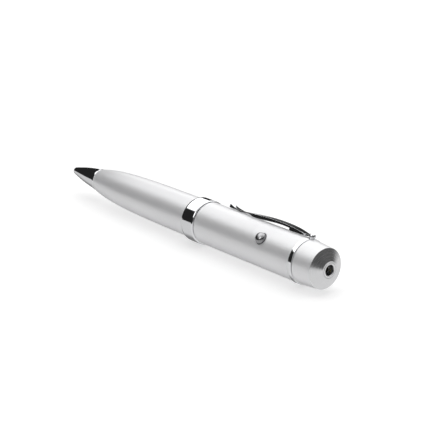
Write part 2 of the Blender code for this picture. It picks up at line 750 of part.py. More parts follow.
def make_tail_cap():
    edge_r = BARREL_R - CAP_TAPER
    hole_r = BEZEL_R + SEAT_GAP
    outer = [
        (CAP_X0, BARREL_R - BARREL_CHAMFER),
        (CAP_X0 + BARREL_CHAMFER, BARREL_R),
        (CAP_EDGE_X, edge_r),
        (CAP_X1, hole_r + BEZEL_CHAMFER),
        (CAP_X1, hole_r),
    ]
    bore_r = SPIGOT_R + SEAT_GAP
    seal_x = CAP_X0 + SEAL_L + SEAT_GAP
    inner = [
        (CAP_X0, SEAL_R + SEAT_GAP),
        (seal_x, SEAL_R + SEAT_GAP),
        (seal_x, bore_r),
        (CAP_FLOOR_X, bore_r),
        (CAP_FLOOR_X, hole_r),
    ]
    turned("tail_cap", outer, inner, SATIN, CAP_TURN)
    turned(
        "tail_seal",
        [(CAP_X0, SEAL_R), (CAP_X0 + SEAL_L, SEAL_R)],
        [(CAP_X0, bore_r), (CAP_X0 + SEAL_L, bore_r)],
        RUBBER,
        CAP_SLIDE,
    )


def make_aperture():
    front_x = CAP_X1 + BEZEL_PROUD
    flange_x = BEZEL_X0 + BEZEL_FLANGE_T
    seat_x = BEZEL_X0 + WINDOW_T + SEAT_GAP
    outer = [
        (BEZEL_X0, BEZEL_FLANGE_R),
        (flange_x, BEZEL_FLANGE_R),
        (flange_x, BEZEL_R),
        (front_x - BEZEL_PROUD, BEZEL_R),
        (front_x, BEZEL_R - BEZEL_PROUD),
    ]
    inner = [
        (BEZEL_X0, WINDOW_R + SEAT_GAP),
        (seat_x, WINDOW_R + SEAT_GAP),
        (seat_x, APERTURE_R),
        (front_x - BEZEL_CHAMFER, APERTURE_R),
        (front_x, APERTURE_R + BEZEL_CHAMFER),
    ]
    turned("aperture_bezel", outer, inner, CHROME, CAP_TURN, sides=FINE_SIDES)
    disc = [(BEZEL_X0, WINDOW_R), (BEZEL_X0 + WINDOW_T, WINDOW_R)]
    turned("aperture_window", disc, None, GLASS, CAP_TURN, sides=FINE_SIDES)


def make_laser_module():
    lens_x = LASER_X1 - LENS_FROM_FRONT
    ledge_x = lens_x - SEAT_GAP
    diode_bore_r = DIODE_R + SEAT_GAP
    front_bore_r = LENS_R + SEAT_GAP
    body_r = SPIGOT_BORE_R - SEAT_GAP
    outer = [
        (LASER_X0, BORE_R - SEAT_GAP),
        (LASER_FLANGE_X1, BORE_R - SEAT_GAP),
        (LASER_FLANGE_X1, body_r),
        (LASER_X1, body_r),
    ]
    inner = [
        (LASER_X0, diode_bore_r),
        (ledge_x - LENS_LEDGE_T, diode_bore_r),
        (ledge_x - LENS_LEDGE_T, LENS_LEDGE_R),
        (ledge_x, LENS_LEDGE_R),
        (ledge_x, front_bore_r),
        (LASER_X1, front_bore_r),
    ]
    turned("laser_housing", outer, inner, BRASS, PEN)
    disc = [(LASER_BOARD_X0, LASER_BOARD_R), (LASER_BOARD_X0 + BOARD_T, LASER_BOARD_R)]
    turned("laser_board", disc, None, BOARD, PEN, sides=FINE_SIDES)
    base_x = LASER_X0 + DIODE_LEDGE
    can_x = base_x + DIODE_BASE_T
    can = [(base_x, DIODE_R), (can_x, DIODE_R), (can_x, DIODE_CAN_R), (can_x + DIODE_CAN_L, DIODE_CAN_R)]
    turned("laser_diode", can, None, GOLD, PEN, sides=FINE_SIDES)
    edge_x = lens_x + LENS_CROWN
    lens = [
        (lens_x, LENS_FLAT_R),
        (edge_x, LENS_R),
        (edge_x + LENS_EDGE_T, LENS_R),
        (edge_x + LENS_EDGE_T + LENS_CROWN, LENS_FLAT_R),
    ]
    turned("laser_lens", lens, None, GLASS, PEN, sides=FINE_SIDES)


def make_cells():
    axis = (0, CELL_Y, CELL_Z)
    for i in range(CELL_COUNT):
        x0 = CELLS_X0 + i * CELL_STEP
        x1 = x0 + CELL_L
        cell = [(x0, CELL_CAP_R), (x0 + CELL_CAP_L, CELL_CAP_R), (x0 + CELL_CAP_L, CELL_R), (x1, CELL_R)]
        turned(f"button_cell_{i + 1}", cell, None, STEEL, PEN, at=axis, sides=FINE_SIDES)
    plate = [(CELL_PLATE_X0, CELL_PLATE_R), (CELL_PLATE_X0 + CELL_PLATE_T, CELL_PLATE_R)]
    turned("cell_plate", plate, None, GOLD, PEN, at=axis, sides=FINE_SIDES)


def make_cell_spring():
    """Conical spring between the last cell and the laser's board, one wire from end to end."""
    count = round(SPRING_TURNS * SPRING_POINTS)
    start = SPRING_X1 - SPRING_L + SPRING_WIRE_R
    rise = SPRING_L - 2 * SPRING_WIRE_R
    points = []
    for i in range(count + 1):
        share = i / count
        angle = 2 * math.pi * SPRING_TURNS * share
        radius = SPRING_WIDE_R + (SPRING_NARROW_R - SPRING_WIDE_R) * share
        y = CELL_Y + radius * math.cos(angle)
        z = CELL_Z + radius * math.sin(angle)
        points.append(Vector((start + rise * share, y, z)))
    apart = [
        (first - second).length
        for i, first in enumerate(points)
        for second in points[i + SPRING_POINTS // 2 :]
    ]
    least = min(apart) - 2 * SPRING_WIRE_R
    wanted = LEAST_WIRE_GAP * 1000
    print(f"cell_spring: least gap between turns {least * 1000:.2f} mm, wanted over {wanted:.1f} mm")
    wire = bpy.data.curves.new("cell_spring", "CURVE")
    wire.dimensions = "3D"
    wire.bevel_depth = SPRING_WIRE_R
    wire.bevel_resolution = 1
    wire.use_fill_caps = True
    spline = wire.splines.new("POLY")
    spline.points.add(count)
    for point, place in zip(spline.points, points):
        point.co = (*place, 1.0)
    mesh = welded_mesh("cell_spring", wire)
    placed("cell_spring", mesh, STEEL, PEN, Matrix.Identity(4))


def make_plug():
    length = PLUG_OUT + PLUG_BACK
    middle = Matrix.Translation(((PLUG_BACK - PLUG_OUT) / 2, 0, 0)) @ ALONG_SQUARE
    outside = rounded_rectangle(PLUG_W, PLUG_H, PLUG_CORNER)
    inner_w = PLUG_W - 2 * PLUG_WALL
    inner_h = PLUG_H - 2 * PLUG_WALL
    inside = rounded_rectangle(inner_w, inner_h, PLUG_CORNER - PLUG_WALL)
    shell = extruded("plug_shell", [outside, inside], length, middle, STEEL, PEN)
    window_x = WINDOW_FROM_END - PLUG_OUT
    for side, z in (("low", -WINDOW_SPACING / 2), ("high", WINDOW_SPACING / 2)):
        low = (window_x - WINDOW_L / 2, -PLUG_H, z - WINDOW_W / 2)
        high = (window_x + WINDOW_L / 2, PLUG_H, z + WINDOW_W / 2)
        combine(shell, block(f"plug_window_{side}_cut", low, high))
    make_tongue(inner_w, inner_h)


def make_tongue(inner_w, inner_h):
    """Insulator with a thin tongue ahead of a full-height root, and a groove under each contact."""
    front_x = SEAT_GAP - PLUG_OUT
    root_x = front_x + TONGUE_L
    back_x = PLUG_BACK - SEAT_GAP
    top_y = inner_h / 2 - SEAT_GAP
    face_y = top_y - TONGUE_T
    outline = [
        (front_x, face_y),
        (root_x, face_y),
        (root_x, -top_y),
        (back_x, -top_y),
        (back_x, top_y),
        (front_x, top_y),
    ]
    tongue = extruded("plug_tongue", [outline], inner_w - 2 * PLUG_CORNER, Matrix.Identity(4), WHITE, PEN)
    groove_y = face_y + 2 * CONTACT_T
    contact_x = front_x + CONTACT_FROM_END
    places = (-CONTACT_OUTER_Z, -CONTACT_INNER_Z, CONTACT_INNER_Z, CONTACT_OUTER_Z)
    for number, z in enumerate(places, 1):
        half = CONTACT_W / 2
        low = (contact_x, groove_y - SEAT_GAP - CONTACT_T, z - half)
        high = (contact_x + CONTACT_L, groove_y - SEAT_GAP, z + half)
        block(f"plug_contact_{number}", low, high, GOLD, PEN)
        wide = half + SEAT_GAP
        low = (contact_x - SEAT_GAP, face_y - CONTACT_T, z - wide)
        high = (contact_x + CONTACT_L + SEAT_GAP, groove_y, z + wide)
        combine(tongue, block(f"contact_groove_{number}_cut", low, high))


def make_cradle_half(name, side, block_y, rail_y):
    """Half of the moulded cradle on one side of the board, with a solid block beside the plug's root."""
    block_x = MOUTH_RECESS + CRADLE_BLOCK_L
    outer = [(MOUTH_RECESS, CRADLE_R), (CRADLE_X1, CRADLE_R)]
    inner = [
        (MOUTH_RECESS, PLUG_WALL),
        (block_x, PLUG_WALL),
        (block_x, CRADLE_BORE_R),
        (RIB_X0, CRADLE_BORE_R),
        (RIB_X0, RIB_HOLE_R),
        (RIB_X0 + RIB_T, RIB_HOLE_R),
        (RIB_X0 + RIB_T, CRADLE_BORE_R),
        (CRADLE_X1, CRADLE_BORE_R),
    ]
    half = turned(name, outer, inner, BLACK, PEN)
    far = -side * BAND_R
    for title, x1, limit in (
        ("rail", CRADLE_X1 + MOUTH_RECESS, rail_y),
        ("plug", PLUG_BACK + RUN_GAP, block_y),
    ):
        near = side * limit
        low = (-MOUTH_RECESS, min(far, near), -BAND_R)
        high = (x1, max(far, near), BAND_R)
        combine(half, block(f"{name}_{title}_cut", low, high))
    return half


def make_drive():
    plug_half = PLUG_H / 2 + SEAT_GAP
    board_low = DRIVE_BOARD_Y - DRIVE_BOARD_T / 2
    board_high = DRIVE_BOARD_Y + DRIVE_BOARD_T / 2
    make_cradle_half("drive_cradle", 1, plug_half, board_high + SEAT_GAP)
    cover = make_cradle_half("drive_cover", -1, plug_half, SEAT_GAP - board_low)
    window_r = BUTTON_FLANGE_R + RUN_GAP
    window = [(SWITCH_BOARD_OUT, window_r), (BARREL_R, window_r)]
    place = (BUTTON_X, 0, 0)
    combine(cover, turned("switch_window_cut", window, None, lie=SIDEWAYS, at=place, sides=FINE_SIDES))
    low = (DRIVE_BOARD_X0, board_low, -DRIVE_BOARD_W / 2)
    high = (DRIVE_BOARD_X1, board_high, DRIVE_BOARD_W / 2)
    block("drive_board", low, high, BOARD, PEN)
    under = board_low - SEAT_GAP
    over = board_high + SEAT_GAP
    controller = (CONTROLLER_SIDE, CONTROLLER_T, CONTROLLER_SIDE)
    memory = (MEMORY_L, MEMORY_T, MEMORY_W)
    crystal = (CRYSTAL_L, CRYSTAL_T, CRYSTAL_W)
    chips = (
        ("controller_chip", CONTROLLER_X0, under - CONTROLLER_T, controller, CHIP),
        ("memory_chip", MEMORY_X0, over, memory, CHIP),
        ("crystal_can", CRYSTAL_X0, under - CRYSTAL_T, crystal, STEEL),
    )
    for name, x, y, (length, thickness, width), material in chips:
        low = (x, y, -width / 2)
        high = (x + length, y + thickness, width / 2)
        block(name, low, high, material, PEN, bevel=CHIP_BEVEL)


def make_button_and_switch():
    dome = arc((0.0, 0.0), 1.0, 0, 90, DOME_STEPS)
    crown = [(BARREL_R + BUTTON_PROUD * rise, BUTTON_R * across) for across, rise in dome[:-1]]
    outer = [
        (FLANGE_IN, BUTTON_FLANGE_R),
        (FLANGE_OUT, BUTTON_FLANGE_R),
        (FLANGE_OUT, BUTTON_R),
    ] + crown
    place = (BUTTON_X, 0, 0)
    turned("laser_button", outer, None, CHROME, BUTTON, lie=SIDEWAYS, at=place, sides=FINE_SIDES)
    plunger = [(PLUNGER_IN, PLUNGER_R), (PLUNGER_OUT, PLUNGER_R)]
    turned("switch_plunger", plunger, None, WHITE, BUTTON, lie=SIDEWAYS, at=place, sides=SMALL_SIDES)
    half = SWITCH_SIDE / 2
    low = (BUTTON_X - half, -SWITCH_OUT, -half)
    high = (BUTTON_X + half, -SWITCH_IN, half)
    switch = block("switch_body", low, high, BLACK, PEN)
    recess_r = PLUNGER_R + SEAT_GAP
    recess = [(SWITCH_RECESS, recess_r), (BARREL_R, recess_r)]
    combine(switch, turned("plunger_recess_cut", recess, None, lie=SIDEWAYS, at=place, sides=SMALL_SIDES))
    low = (BUTTON_X - SWITCH_BOARD_L / 2, -SWITCH_BOARD_OUT, -SWITCH_BOARD_W / 2)
    high = (BUTTON_X + SWITCH_BOARD_L / 2, SWITCH_BOARD_T - SWITCH_BOARD_OUT, SWITCH_BOARD_W / 2)
    block("switch_board", low, high, BOARD, PEN)


def bezier(points, t):
    """Point of a Bezier curve of any degree, by repeated halving between neighbours."""
    points = [Vector(p) for p in points]
    while len(points) > 1:
        points = [a.lerp(b, t) for a, b in zip(points, points[1:])]
    return points[0]


def ease(share):
    """Smooth step from 0 to 1."""
    share = min(1.0, max(0.0, share))
    return share * share * (3 - 2 * share)


def clip_width(x):
    """Narrow where the clip meets the barrel, widest at the leaf, and a little narrower at the root."""
    if x < CLIP_LEAF_X:
        share = ease((x - CLIP_CONTACT_X) / (CLIP_LEAF_X - CLIP_CONTACT_X))
        return CLIP_NECK_W + (CLIP_LEAF_W - CLIP_NECK_W) * share
    share = ease((x - CLIP_LEAF_X) / (BLOCK_X0 - CLIP_LEAF_X))
    return CLIP_LEAF_W + (CLIP_ROOT_W - CLIP_LEAF_W) * share


def clip_swell(x, z):
    """Extra thickness under the clip: it fills the space down to the barrel at the tip and the leaf, and fades
    towards the root."""
    if x > BLOCK_X0:
        return 0.0
    share = ease((x - CLIP_LEAF_X) / (BLOCK_X0 - CLIP_LEAF_X))
    most = CLIP_SWELL + (CLIP_ROOT_SWELL - CLIP_SWELL) * share
    return min(most, max(0.0, z - CLIP_T / 2 - BARREL_R - CLIP_UNDER_GAP))


def clip_path():
    """(x, z, width) along the clip from its stub to its tip: flat stub, arched arm, upturned tip."""
    root = (CLIP_ROOT_X, STUB_Z)
    over_root = (CLIP_ROOT_X - CLIP_ROOT_REACH, BARREL_R + CLIP_ROOT_ARCH)
    over_leaf = (CLIP_CONTACT_X + CLIP_LEAF_REACH, BARREL_R + CLIP_LEAF_ARCH)
    contact = (CLIP_CONTACT_X, CLIP_CONTACT_Z)
    neck_x = POST_X - LUG_BALL_R - CLIP_STUB_GAP
    path = [(STUB_X1, STUB_Z, CLIP_STUB_W), (neck_x, STUB_Z, CLIP_STUB_W)]
    for i in range(CLIP_ARM_STEPS + 1):
        x, z = bezier((root, over_root, over_leaf, contact), i / CLIP_ARM_STEPS)
        path.append((x, z, clip_width(x)))
    tip = (CLIP_CONTACT_X - CLIP_FLICK_L, CLIP_CONTACT_Z + CLIP_FLICK_LIFT)
    dip = (CLIP_CONTACT_X - CLIP_FLICK_L / 2, CLIP_CONTACT_Z)
    for i in range(1, CLIP_TIP_STEPS + 1):
        t = i / CLIP_TIP_STEPS
        x, z = bezier((contact, dip, tip), t)
        path.append((x, z, CLIP_NECK_W + (CLIP_TIP_W - CLIP_NECK_W) * t))
    return path


def clip_sections(path):
    """Cross-sections square to the path, flat below and lightly crowned above."""
    sections = []
    for i, (x, z, width) in enumerate(path):
        before = path[max(0, i - 1)]
        after = path[min(len(path) - 1, i + 1)]
        run = Vector((after[0] - before[0], after[1] - before[1])).normalized()
        lift = Vector((run.y, -run.x))
        section = []
        for across, up in CLIP_OUTLINE:
            if up < 0:
                up -= clip_swell(x, z)
            section.append((x + lift.x * up, across * width / 2, z + lift.y * up))
        sections.append(section)
    return sections


def make_pocket_clip():
    """Cast bar, thickest at its leaf, with a block under its root and a stub that sits in the ring's lug."""
    path = clip_path()
    clip = lofted("pocket_clip", clip_sections(path), CHROME, CLIP_PIVOT, CLIP_UP)
    arm = [(x, z) for x, z, _ in path if BLOCK_X0 < x < BLOCK_X1]
    low_z = BARREL_R + BLOCK_GAP
    outline = list(reversed(arm)) + [(BLOCK_X1, low_z), (arm[-1][0] + BLOCK_SLOPE, low_z)]
    across = CLIP_UP @ Matrix.Rotation(math.pi / 2, 4, "X")
    combine(clip, extruded("clip_block", [outline], CLIP_ROOT_W, across), "UNION")
    smooth(clip)


def stand_on_surface():
    """Moves the whole pen so that its box is centred over the origin and its lowest flat lies at z = 0."""
    bpy.context.view_layer.update()
    graph = bpy.context.evaluated_depsgraph_get()
    corners = []
    for obj in PARTS.objects:
        if obj.type == "MESH":
            evaluated = obj.evaluated_get(graph)
            corners += [evaluated.matrix_world @ vertex.co for vertex in evaluated.data.vertices]
    low = [min(corner[i] for corner in corners) for i in range(3)]
    high = [max(corner[i] for corner in corners) for i in range(3)]
    PEN.location = (-(low[0] + high[0]) / 2, -(low[1] + high[1]) / 2, -low[2])


make_lower_barrel()
make_nose_cone()
make_centre_band()
make_plug_socket()
make_mechanism_housing()
make_cam_sleeve()
make_refill()
make_upper_barrel()
make_clip_ring()
make_tail_cap()
make_aperture()
make_laser_module()
make_cells()
make_cell_spring()
make_plug()
make_drive()
make_button_and_switch()
make_pocket_clip()
stand_on_surface()
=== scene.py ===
# %% [markdown]
# # A flash drive pen, finished piece by piece
#
# The solids of the pen come in as a fixed frame, and this lesson gives them their looks. Every new piece is
# a surface worked out as whole arrays: a profile turned round the pen's axis, or a section carried along a
# path. A piece that takes the place of a solid reads its size from that solid, so the pen keeps its real
# measures.

# %% Load the frame
import json

import bmesh
import bpy
import numpy as np
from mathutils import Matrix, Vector


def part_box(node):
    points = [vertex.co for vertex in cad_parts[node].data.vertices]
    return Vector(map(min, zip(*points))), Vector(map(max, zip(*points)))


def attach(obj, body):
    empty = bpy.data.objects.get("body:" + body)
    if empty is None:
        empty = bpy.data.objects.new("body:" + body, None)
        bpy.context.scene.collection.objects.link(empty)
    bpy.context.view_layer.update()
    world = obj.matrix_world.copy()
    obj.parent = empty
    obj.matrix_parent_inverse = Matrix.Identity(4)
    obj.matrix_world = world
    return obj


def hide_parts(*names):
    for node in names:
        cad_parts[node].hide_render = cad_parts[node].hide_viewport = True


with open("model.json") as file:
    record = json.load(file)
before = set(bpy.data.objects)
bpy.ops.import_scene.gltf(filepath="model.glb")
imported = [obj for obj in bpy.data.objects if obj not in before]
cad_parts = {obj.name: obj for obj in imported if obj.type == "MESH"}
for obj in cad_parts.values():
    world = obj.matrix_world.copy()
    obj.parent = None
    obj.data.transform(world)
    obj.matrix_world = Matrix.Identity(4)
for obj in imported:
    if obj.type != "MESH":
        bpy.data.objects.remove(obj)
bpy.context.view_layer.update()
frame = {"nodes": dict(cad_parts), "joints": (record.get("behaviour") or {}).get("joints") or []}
NODES = frame["nodes"]
MM = 0.001

# %% [markdown]
# ## The pen's axis
#
# The pen lies along X, so one number fixes its axis: the height of the middle of the chrome band, which is
# the widest ring and touches the table. A round solid in the frame has flat facets. The circle that fits
# inside them has half the height of the solid's box as its radius, and a smooth piece of that radius lies on
# the table as the solid does.

# %% Measure round solids
band_low, band_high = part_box("centre_band")
AXIS_Z = (band_low.z + band_high.z) / 2
AXIS = np.array((0.0, 0.0, AXIS_Z))
AHEAD = np.array((1.0, 0.0, 0.0))
SEAT = 0.15 * MM  # the gap with which pieces seat on each other


def span(node):
    """First and last x of a round solid, and the radius of the circle inside its facets."""
    low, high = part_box(node)
    return low.x, high.x, (high.z - low.z) / 2


band_x0, band_x1, BAND_R = span("centre_band")
lower_x0, lower_x1, LOWER_R = span("lower_barrel")
upper_x0, upper_end, UPPER_R = span("upper_barrel")
cap_x0, cap_x1, CAP_R = span("tail_cap")
LUG_R = 1.1 * MM
RING_L = 1.4 * MM
lug_x = span("clip_ring")[1] - LUG_R
ring_x0 = lug_x - RING_L / 2
ring_x1 = lug_x + RING_L / 2
print(f"axis at {AXIS_Z / MM:.3f} mm, band radius {BAND_R / MM:.3f} mm, barrel radius {UPPER_R / MM:.3f} mm")

# %% [markdown]
# ## The camera
#
# A long lens from the tail end, a little above the table, looks down the pen and foreshortens it. A shorter
# lens from nearer would make the tail too large beside the nose.

# %% Camera
eye = Vector((0.3699, -0.2901, 0.16307))
aim = Vector((0.01003, 0.00109, 0.01157))
camera = bpy.data.objects.new("camera", bpy.data.cameras.new("camera"))
bpy.context.scene.collection.objects.link(camera)
camera.location = eye
camera.rotation_euler = (aim - eye).to_track_quat("-Z", "Y").to_euler()
camera.data.lens = 123.7
camera.data.sensor_width = 36.0
camera.data.clip_start = 0.01
bpy.context.scene.camera = camera
print(f"camera {(aim - eye).length:.3f} m from the pen")

# %% [markdown]
# ## Table and light
#
# The pen lies on a sheet of white paper on a light table: the paper glows a little, so the pen's shadow
# stays faint. The sheet is wide enough that no edge shows. Metal doesn't mirror it, because the room that is
# painted below has a paper of its own for that.

# %% Table
TABLE_HALF = 3.0
PAPER_WHITE = 0.66
PAPER_GLOW = 0.47
table_mesh = bpy.data.meshes.new("table")
table_corners = np.array(((-1, -1), (1, -1), (1, 1), (-1, 1))) * TABLE_HALF
table_mesh.from_pydata(np.column_stack([table_corners, np.zeros(4)]).tolist(), [], [(0, 1, 2, 3)])
table = bpy.data.objects.new("table", table_mesh)
bpy.context.scene.collection.objects.link(table)
table.visible_glossy = False
paper = bpy.data.materials.new("white_paper")
paper.use_nodes = True
paper_shader = paper.node_tree.nodes["Principled BSDF"]
paper_shader.inputs["Base Color"].default_value = (PAPER_WHITE, PAPER_WHITE, PAPER_WHITE, 1)
paper_shader.inputs["Roughness"].default_value = 0.9
paper_shader.inputs["Specular IOR Level"].default_value = 0.0
paper_shader.inputs["Emission Color"].default_value = (1, 1, 1, 1)
paper_shader.inputs["Emission Strength"].default_value = PAPER_GLOW
table_mesh.materials.append(paper)
print(f"table of {2 * TABLE_HALF:.0f} m")

# %% [markdown]
# Polished metal shows the room more than itself, so the light is a room painted on the world by direction,
# which a ring of lamps could not do as evenly. A few small functions write its formula as nodes.

# %% Sky nodes
world = bpy.data.worlds.new("studio")
bpy.context.scene.world = world
world.use_nodes = True
sky = world.node_tree
sky.nodes.clear()


def link(tree, source, target):
    """Joins one socket of a node tree to another."""
    tree.links.new(source, target)


def node(tree, kind, **settings):
    """Adds a node; settings are properties by name, or input values by the input's name with spaces as
    underscores."""
    made = tree.nodes.new(kind)
    for key, value in settings.items():
        if hasattr(made, key):
            setattr(made, key, value)
        else:
            made.inputs[key.replace("_", " ")].default_value = value
    return made


def feed(slot, source):
    """Gives an input of the sky a socket or a number."""
    if isinstance(source, bpy.types.NodeSocket):
        link(sky, source, slot)
    else:
        slot.default_value = source


def maths(operation, first, second):
    """One Math node of the sky on two sockets or numbers; returns its output."""
    made = node(sky, "ShaderNodeMath", operation=operation)
    feed(made.inputs[0], first)
    feed(made.inputs[1], second)
    return made.outputs[0]


def ramp(value, low, high):
    """Smooth step of a socket from 0 at low to 1 at high; low and high are sockets or numbers."""
    made = node(sky, "ShaderNodeMapRange", interpolation_type="SMOOTHSTEP")
    feed(made.inputs["Value"], value)
    feed(made.inputs["From Min"], low)
    feed(made.inputs["From Max"], high)
    return made.outputs["Result"]


def blend(share, first, second):
    """first * (1 - share) + second * share, for numbers or sockets."""
    rest = maths("SUBTRACT", 1.0, share)
    return maths("ADD", maths("MULTIPLY", rest, first), maths("MULTIPLY", share, second))


# %% [markdown]
# A dark wall goes round the room. It is tall on the near side, where the chrome turns black, low on the far
# side, and grey at the tail. On the far side, straight across the pen, it has a pale opening like a window.
# Each ramp names the two values of a direction between which one part of the room turns into the next.

# %% Walls by direction
WALL_TOP = {"near": 0.56, "far": 0.255, "tail": 0.62}
WALL_FOOT = {"near": -0.07, "far": -0.16, "tail": -0.09}
BLACK_WALL = 0.022
DARK_WALL = 0.035
GREY_WALL = 0.11
PALE_OPENING = 0.75
WALL_EDGE = 0.02
direction = node(sky, "ShaderNodeTexCoord").outputs["Generated"]
split = node(sky, "ShaderNodeSeparateXYZ")
link(sky, direction, split.inputs[0])
along, across, up = split.outputs
far_side = ramp(across, 0.28, 0.54)
tail_side = ramp(along, -0.1, 0.5)


def by_side(heights):
    """A height that goes from the near side's to the far side's, and from both to the tail's."""
    return blend(tail_side, blend(far_side, heights["near"], heights["far"]), heights["tail"])


def above(height):
    """0 below a height of the sky and 1 above it, over a soft edge."""
    return ramp(up, maths("SUBTRACT", height, WALL_EDGE), maths("ADD", height, WALL_EDGE))


opening = maths("MULTIPLY", ramp(along, 0.42, 0.0), ramp(along, -0.45, -0.1))
opening = maths("MULTIPLY", ramp(across, 0.6, 0.8), opening)
far_wall = blend(ramp(up, -0.03, 0.1), GREY_WALL, DARK_WALL)
far_wall = blend(ramp(across, 0.6, 0.72), BLACK_WALL, far_wall)
wall = blend(opening, blend(tail_side, far_wall, GREY_WALL), PALE_OPENING)
print(f"walls from {BLACK_WALL} to {GREY_WALL}")

# %% [markdown]
# Above the wall the ceiling is white over the far side and dim over the near one, so the shadow falls
# towards the camera. A small soft lamp on the near side puts a bright spot on the button. Below the wall,
# metal sees the paper: pale in front of the pen, a little greyer beyond the nose, and dark under the pen.
# The camera itself sees plain white.

# %% Ceiling, lamp and paper by direction
CEILING = 1.97
DIM_CEILING = 0.8
NEAR_WAY = (0.6, -0.8, 0.0)
LAMP = 2.6
LAMP_WAY = (-0.08, -0.8, 0.6)
PALE_PAPER = 0.92
NOSE_PAPER = 0.8
SHADED_PAPER = 0.28


def towards(way):
    """How much a direction points a given way: the dot product of the two."""
    made = node(sky, "ShaderNodeVectorMath", operation="DOT_PRODUCT")
    made.inputs[1].default_value = way
    link(sky, direction, made.inputs[0])
    return made.outputs["Value"]


ceiling = blend(ramp(towards(NEAR_WAY), -0.08, 0.3), CEILING, DIM_CEILING)
lamp = maths("MULTIPLY", ramp(towards(LAMP_WAY), 0.97, 0.99), LAMP)
room = maths("ADD", blend(above(by_side(WALL_TOP)), wall, ceiling), lamp)
under = maths("MULTIPLY", ramp(across, -0.25, 0.15), ramp(along, -0.2, -0.6))
under = maths("MULTIPLY", under, ramp(up, -0.26, -0.42))
ground = blend(under, blend(ramp(along, -0.6, -0.8), PALE_PAPER, NOSE_PAPER), SHADED_PAPER)
bright = blend(above(by_side(WALL_FOOT)), ground, room)
seen = node(sky, "ShaderNodeLightPath").outputs["Is Camera Ray"]
background = node(sky, "ShaderNodeBackground")
link(sky, blend(seen, bright, 1.0), background.inputs["Strength"])
link(sky, background.outputs[0], node(sky, "ShaderNodeOutputWorld").inputs["Surface"])
bpy.context.scene.view_settings.view_transform = "Standard"
print(f"ceiling {CEILING}, lamp {LAMP}, paper {PALE_PAPER}")

# %% [markdown]
# ## Finishes
#
# No metal is one flat colour. Each finish starts from a metal or plastic shader and gets layers of grain. A
# grain is noise on the piece's own coordinates, stretched along the direction in which the real surface was
# worked. It moves the colour a little, the gloss more, and lifts the surface by a few thousandths of a
# millimetre.

# %% Base finish
FINISHES = {}
# A Mix node has sockets for each kind of value, and these are the ones for colours
MIX_FIRST = 6
MIX_SECOND = 7
MIX_RESULT = 2


def finish(name, colour, metallic, roughness, slot=None, **sockets):
    """A node material: a Principled shader with one colour, to which grain() adds what the hand and the
    light find. slot is the name of the same finish in the frame's own record."""
    made = bpy.data.materials.new(name)
    made["slot"] = slot or name
    made.use_nodes = True
    shader = made.node_tree.nodes["Principled BSDF"]
    shader.inputs["Base Color"].default_value = (*colour, 1)
    shader.inputs["Metallic"].default_value = metallic
    shader.inputs["Roughness"].default_value = roughness
    for key, value in sockets.items():
        shader.inputs[key.replace("_", " ")].default_value = value
    FINISHES[name] = made
    return made


def shifted(tree, origin):
    """The piece's own coordinates, counted from a given origin."""
    made = node(tree, "ShaderNodeMapping")
    made.inputs["Location"].default_value = [-side for side in origin]
    link(tree, node(tree, "ShaderNodeTexCoord").outputs["Object"], made.inputs["Vector"])
    return made.outputs[0]


def vector(tree, operation, source, other=None):
    """A vector node on a socket and, where the operation takes two, on fixed numbers."""
    made = node(tree, "ShaderNodeVectorMath", operation=operation)
    link(tree, source, made.inputs[0])
    if other is not None:
        made.inputs[1].default_value = other
    return made.outputs["Value" if operation == "LENGTH" else "Vector"]


# %% Grain
def grain(material, size, tone=None, gloss=None, lift=0.0, radial=False):
    """Noise whose grains measure size in mm, one number or (x, y, z): tone is a pair of colours it runs
    between, gloss a pair of roughnesses, and lift the height in mm that it raises the surface by. A radial
    grain depends on the distance from the pen's axis alone, as the marks of a lathe tool on a face do."""
    tree = material.node_tree
    shader = tree.nodes["Principled BSDF"]
    place = shifted(tree, AXIS)
    if radial:
        place = vector(tree, "LENGTH", vector(tree, "MULTIPLY", place, (0, 1, 1)))
    scaled = vector(tree, "MULTIPLY", place, 1 / (np.broadcast_to(size, 3) * MM))
    noise = node(tree, "ShaderNodeTexNoise", Scale=1.0, Detail=3.0)
    link(tree, scaled, noise.inputs["Vector"])
    value = noise.outputs[0]
    if tone:
        mixed = node(tree, "ShaderNodeMix", data_type="RGBA")
        mixed.inputs[MIX_FIRST].default_value = (*tone[0], 1)
        mixed.inputs[MIX_SECOND].default_value = (*tone[1], 1)
        link(tree, value, mixed.inputs[0])
        link(tree, mixed.outputs[MIX_RESULT], shader.inputs["Base Color"])
    if gloss:
        spread = node(tree, "ShaderNodeMapRange", From_Min=0.3, From_Max=0.7)
        spread.inputs["To Min"].default_value, spread.inputs["To Max"].default_value = gloss
        link(tree, value, spread.inputs["Value"])
        link(tree, spread.outputs[0], shader.inputs["Roughness"])
    if lift:
        bump = node(tree, "ShaderNodeBump", Distance=lift * MM, Strength=1.0)
        link(tree, value, bump.inputs["Height"])
        if shader.inputs["Normal"].is_linked:
            link(tree, shader.inputs["Normal"].links[0].from_socket, bump.inputs["Normal"])
        link(tree, bump.outputs[0], shader.inputs["Normal"])
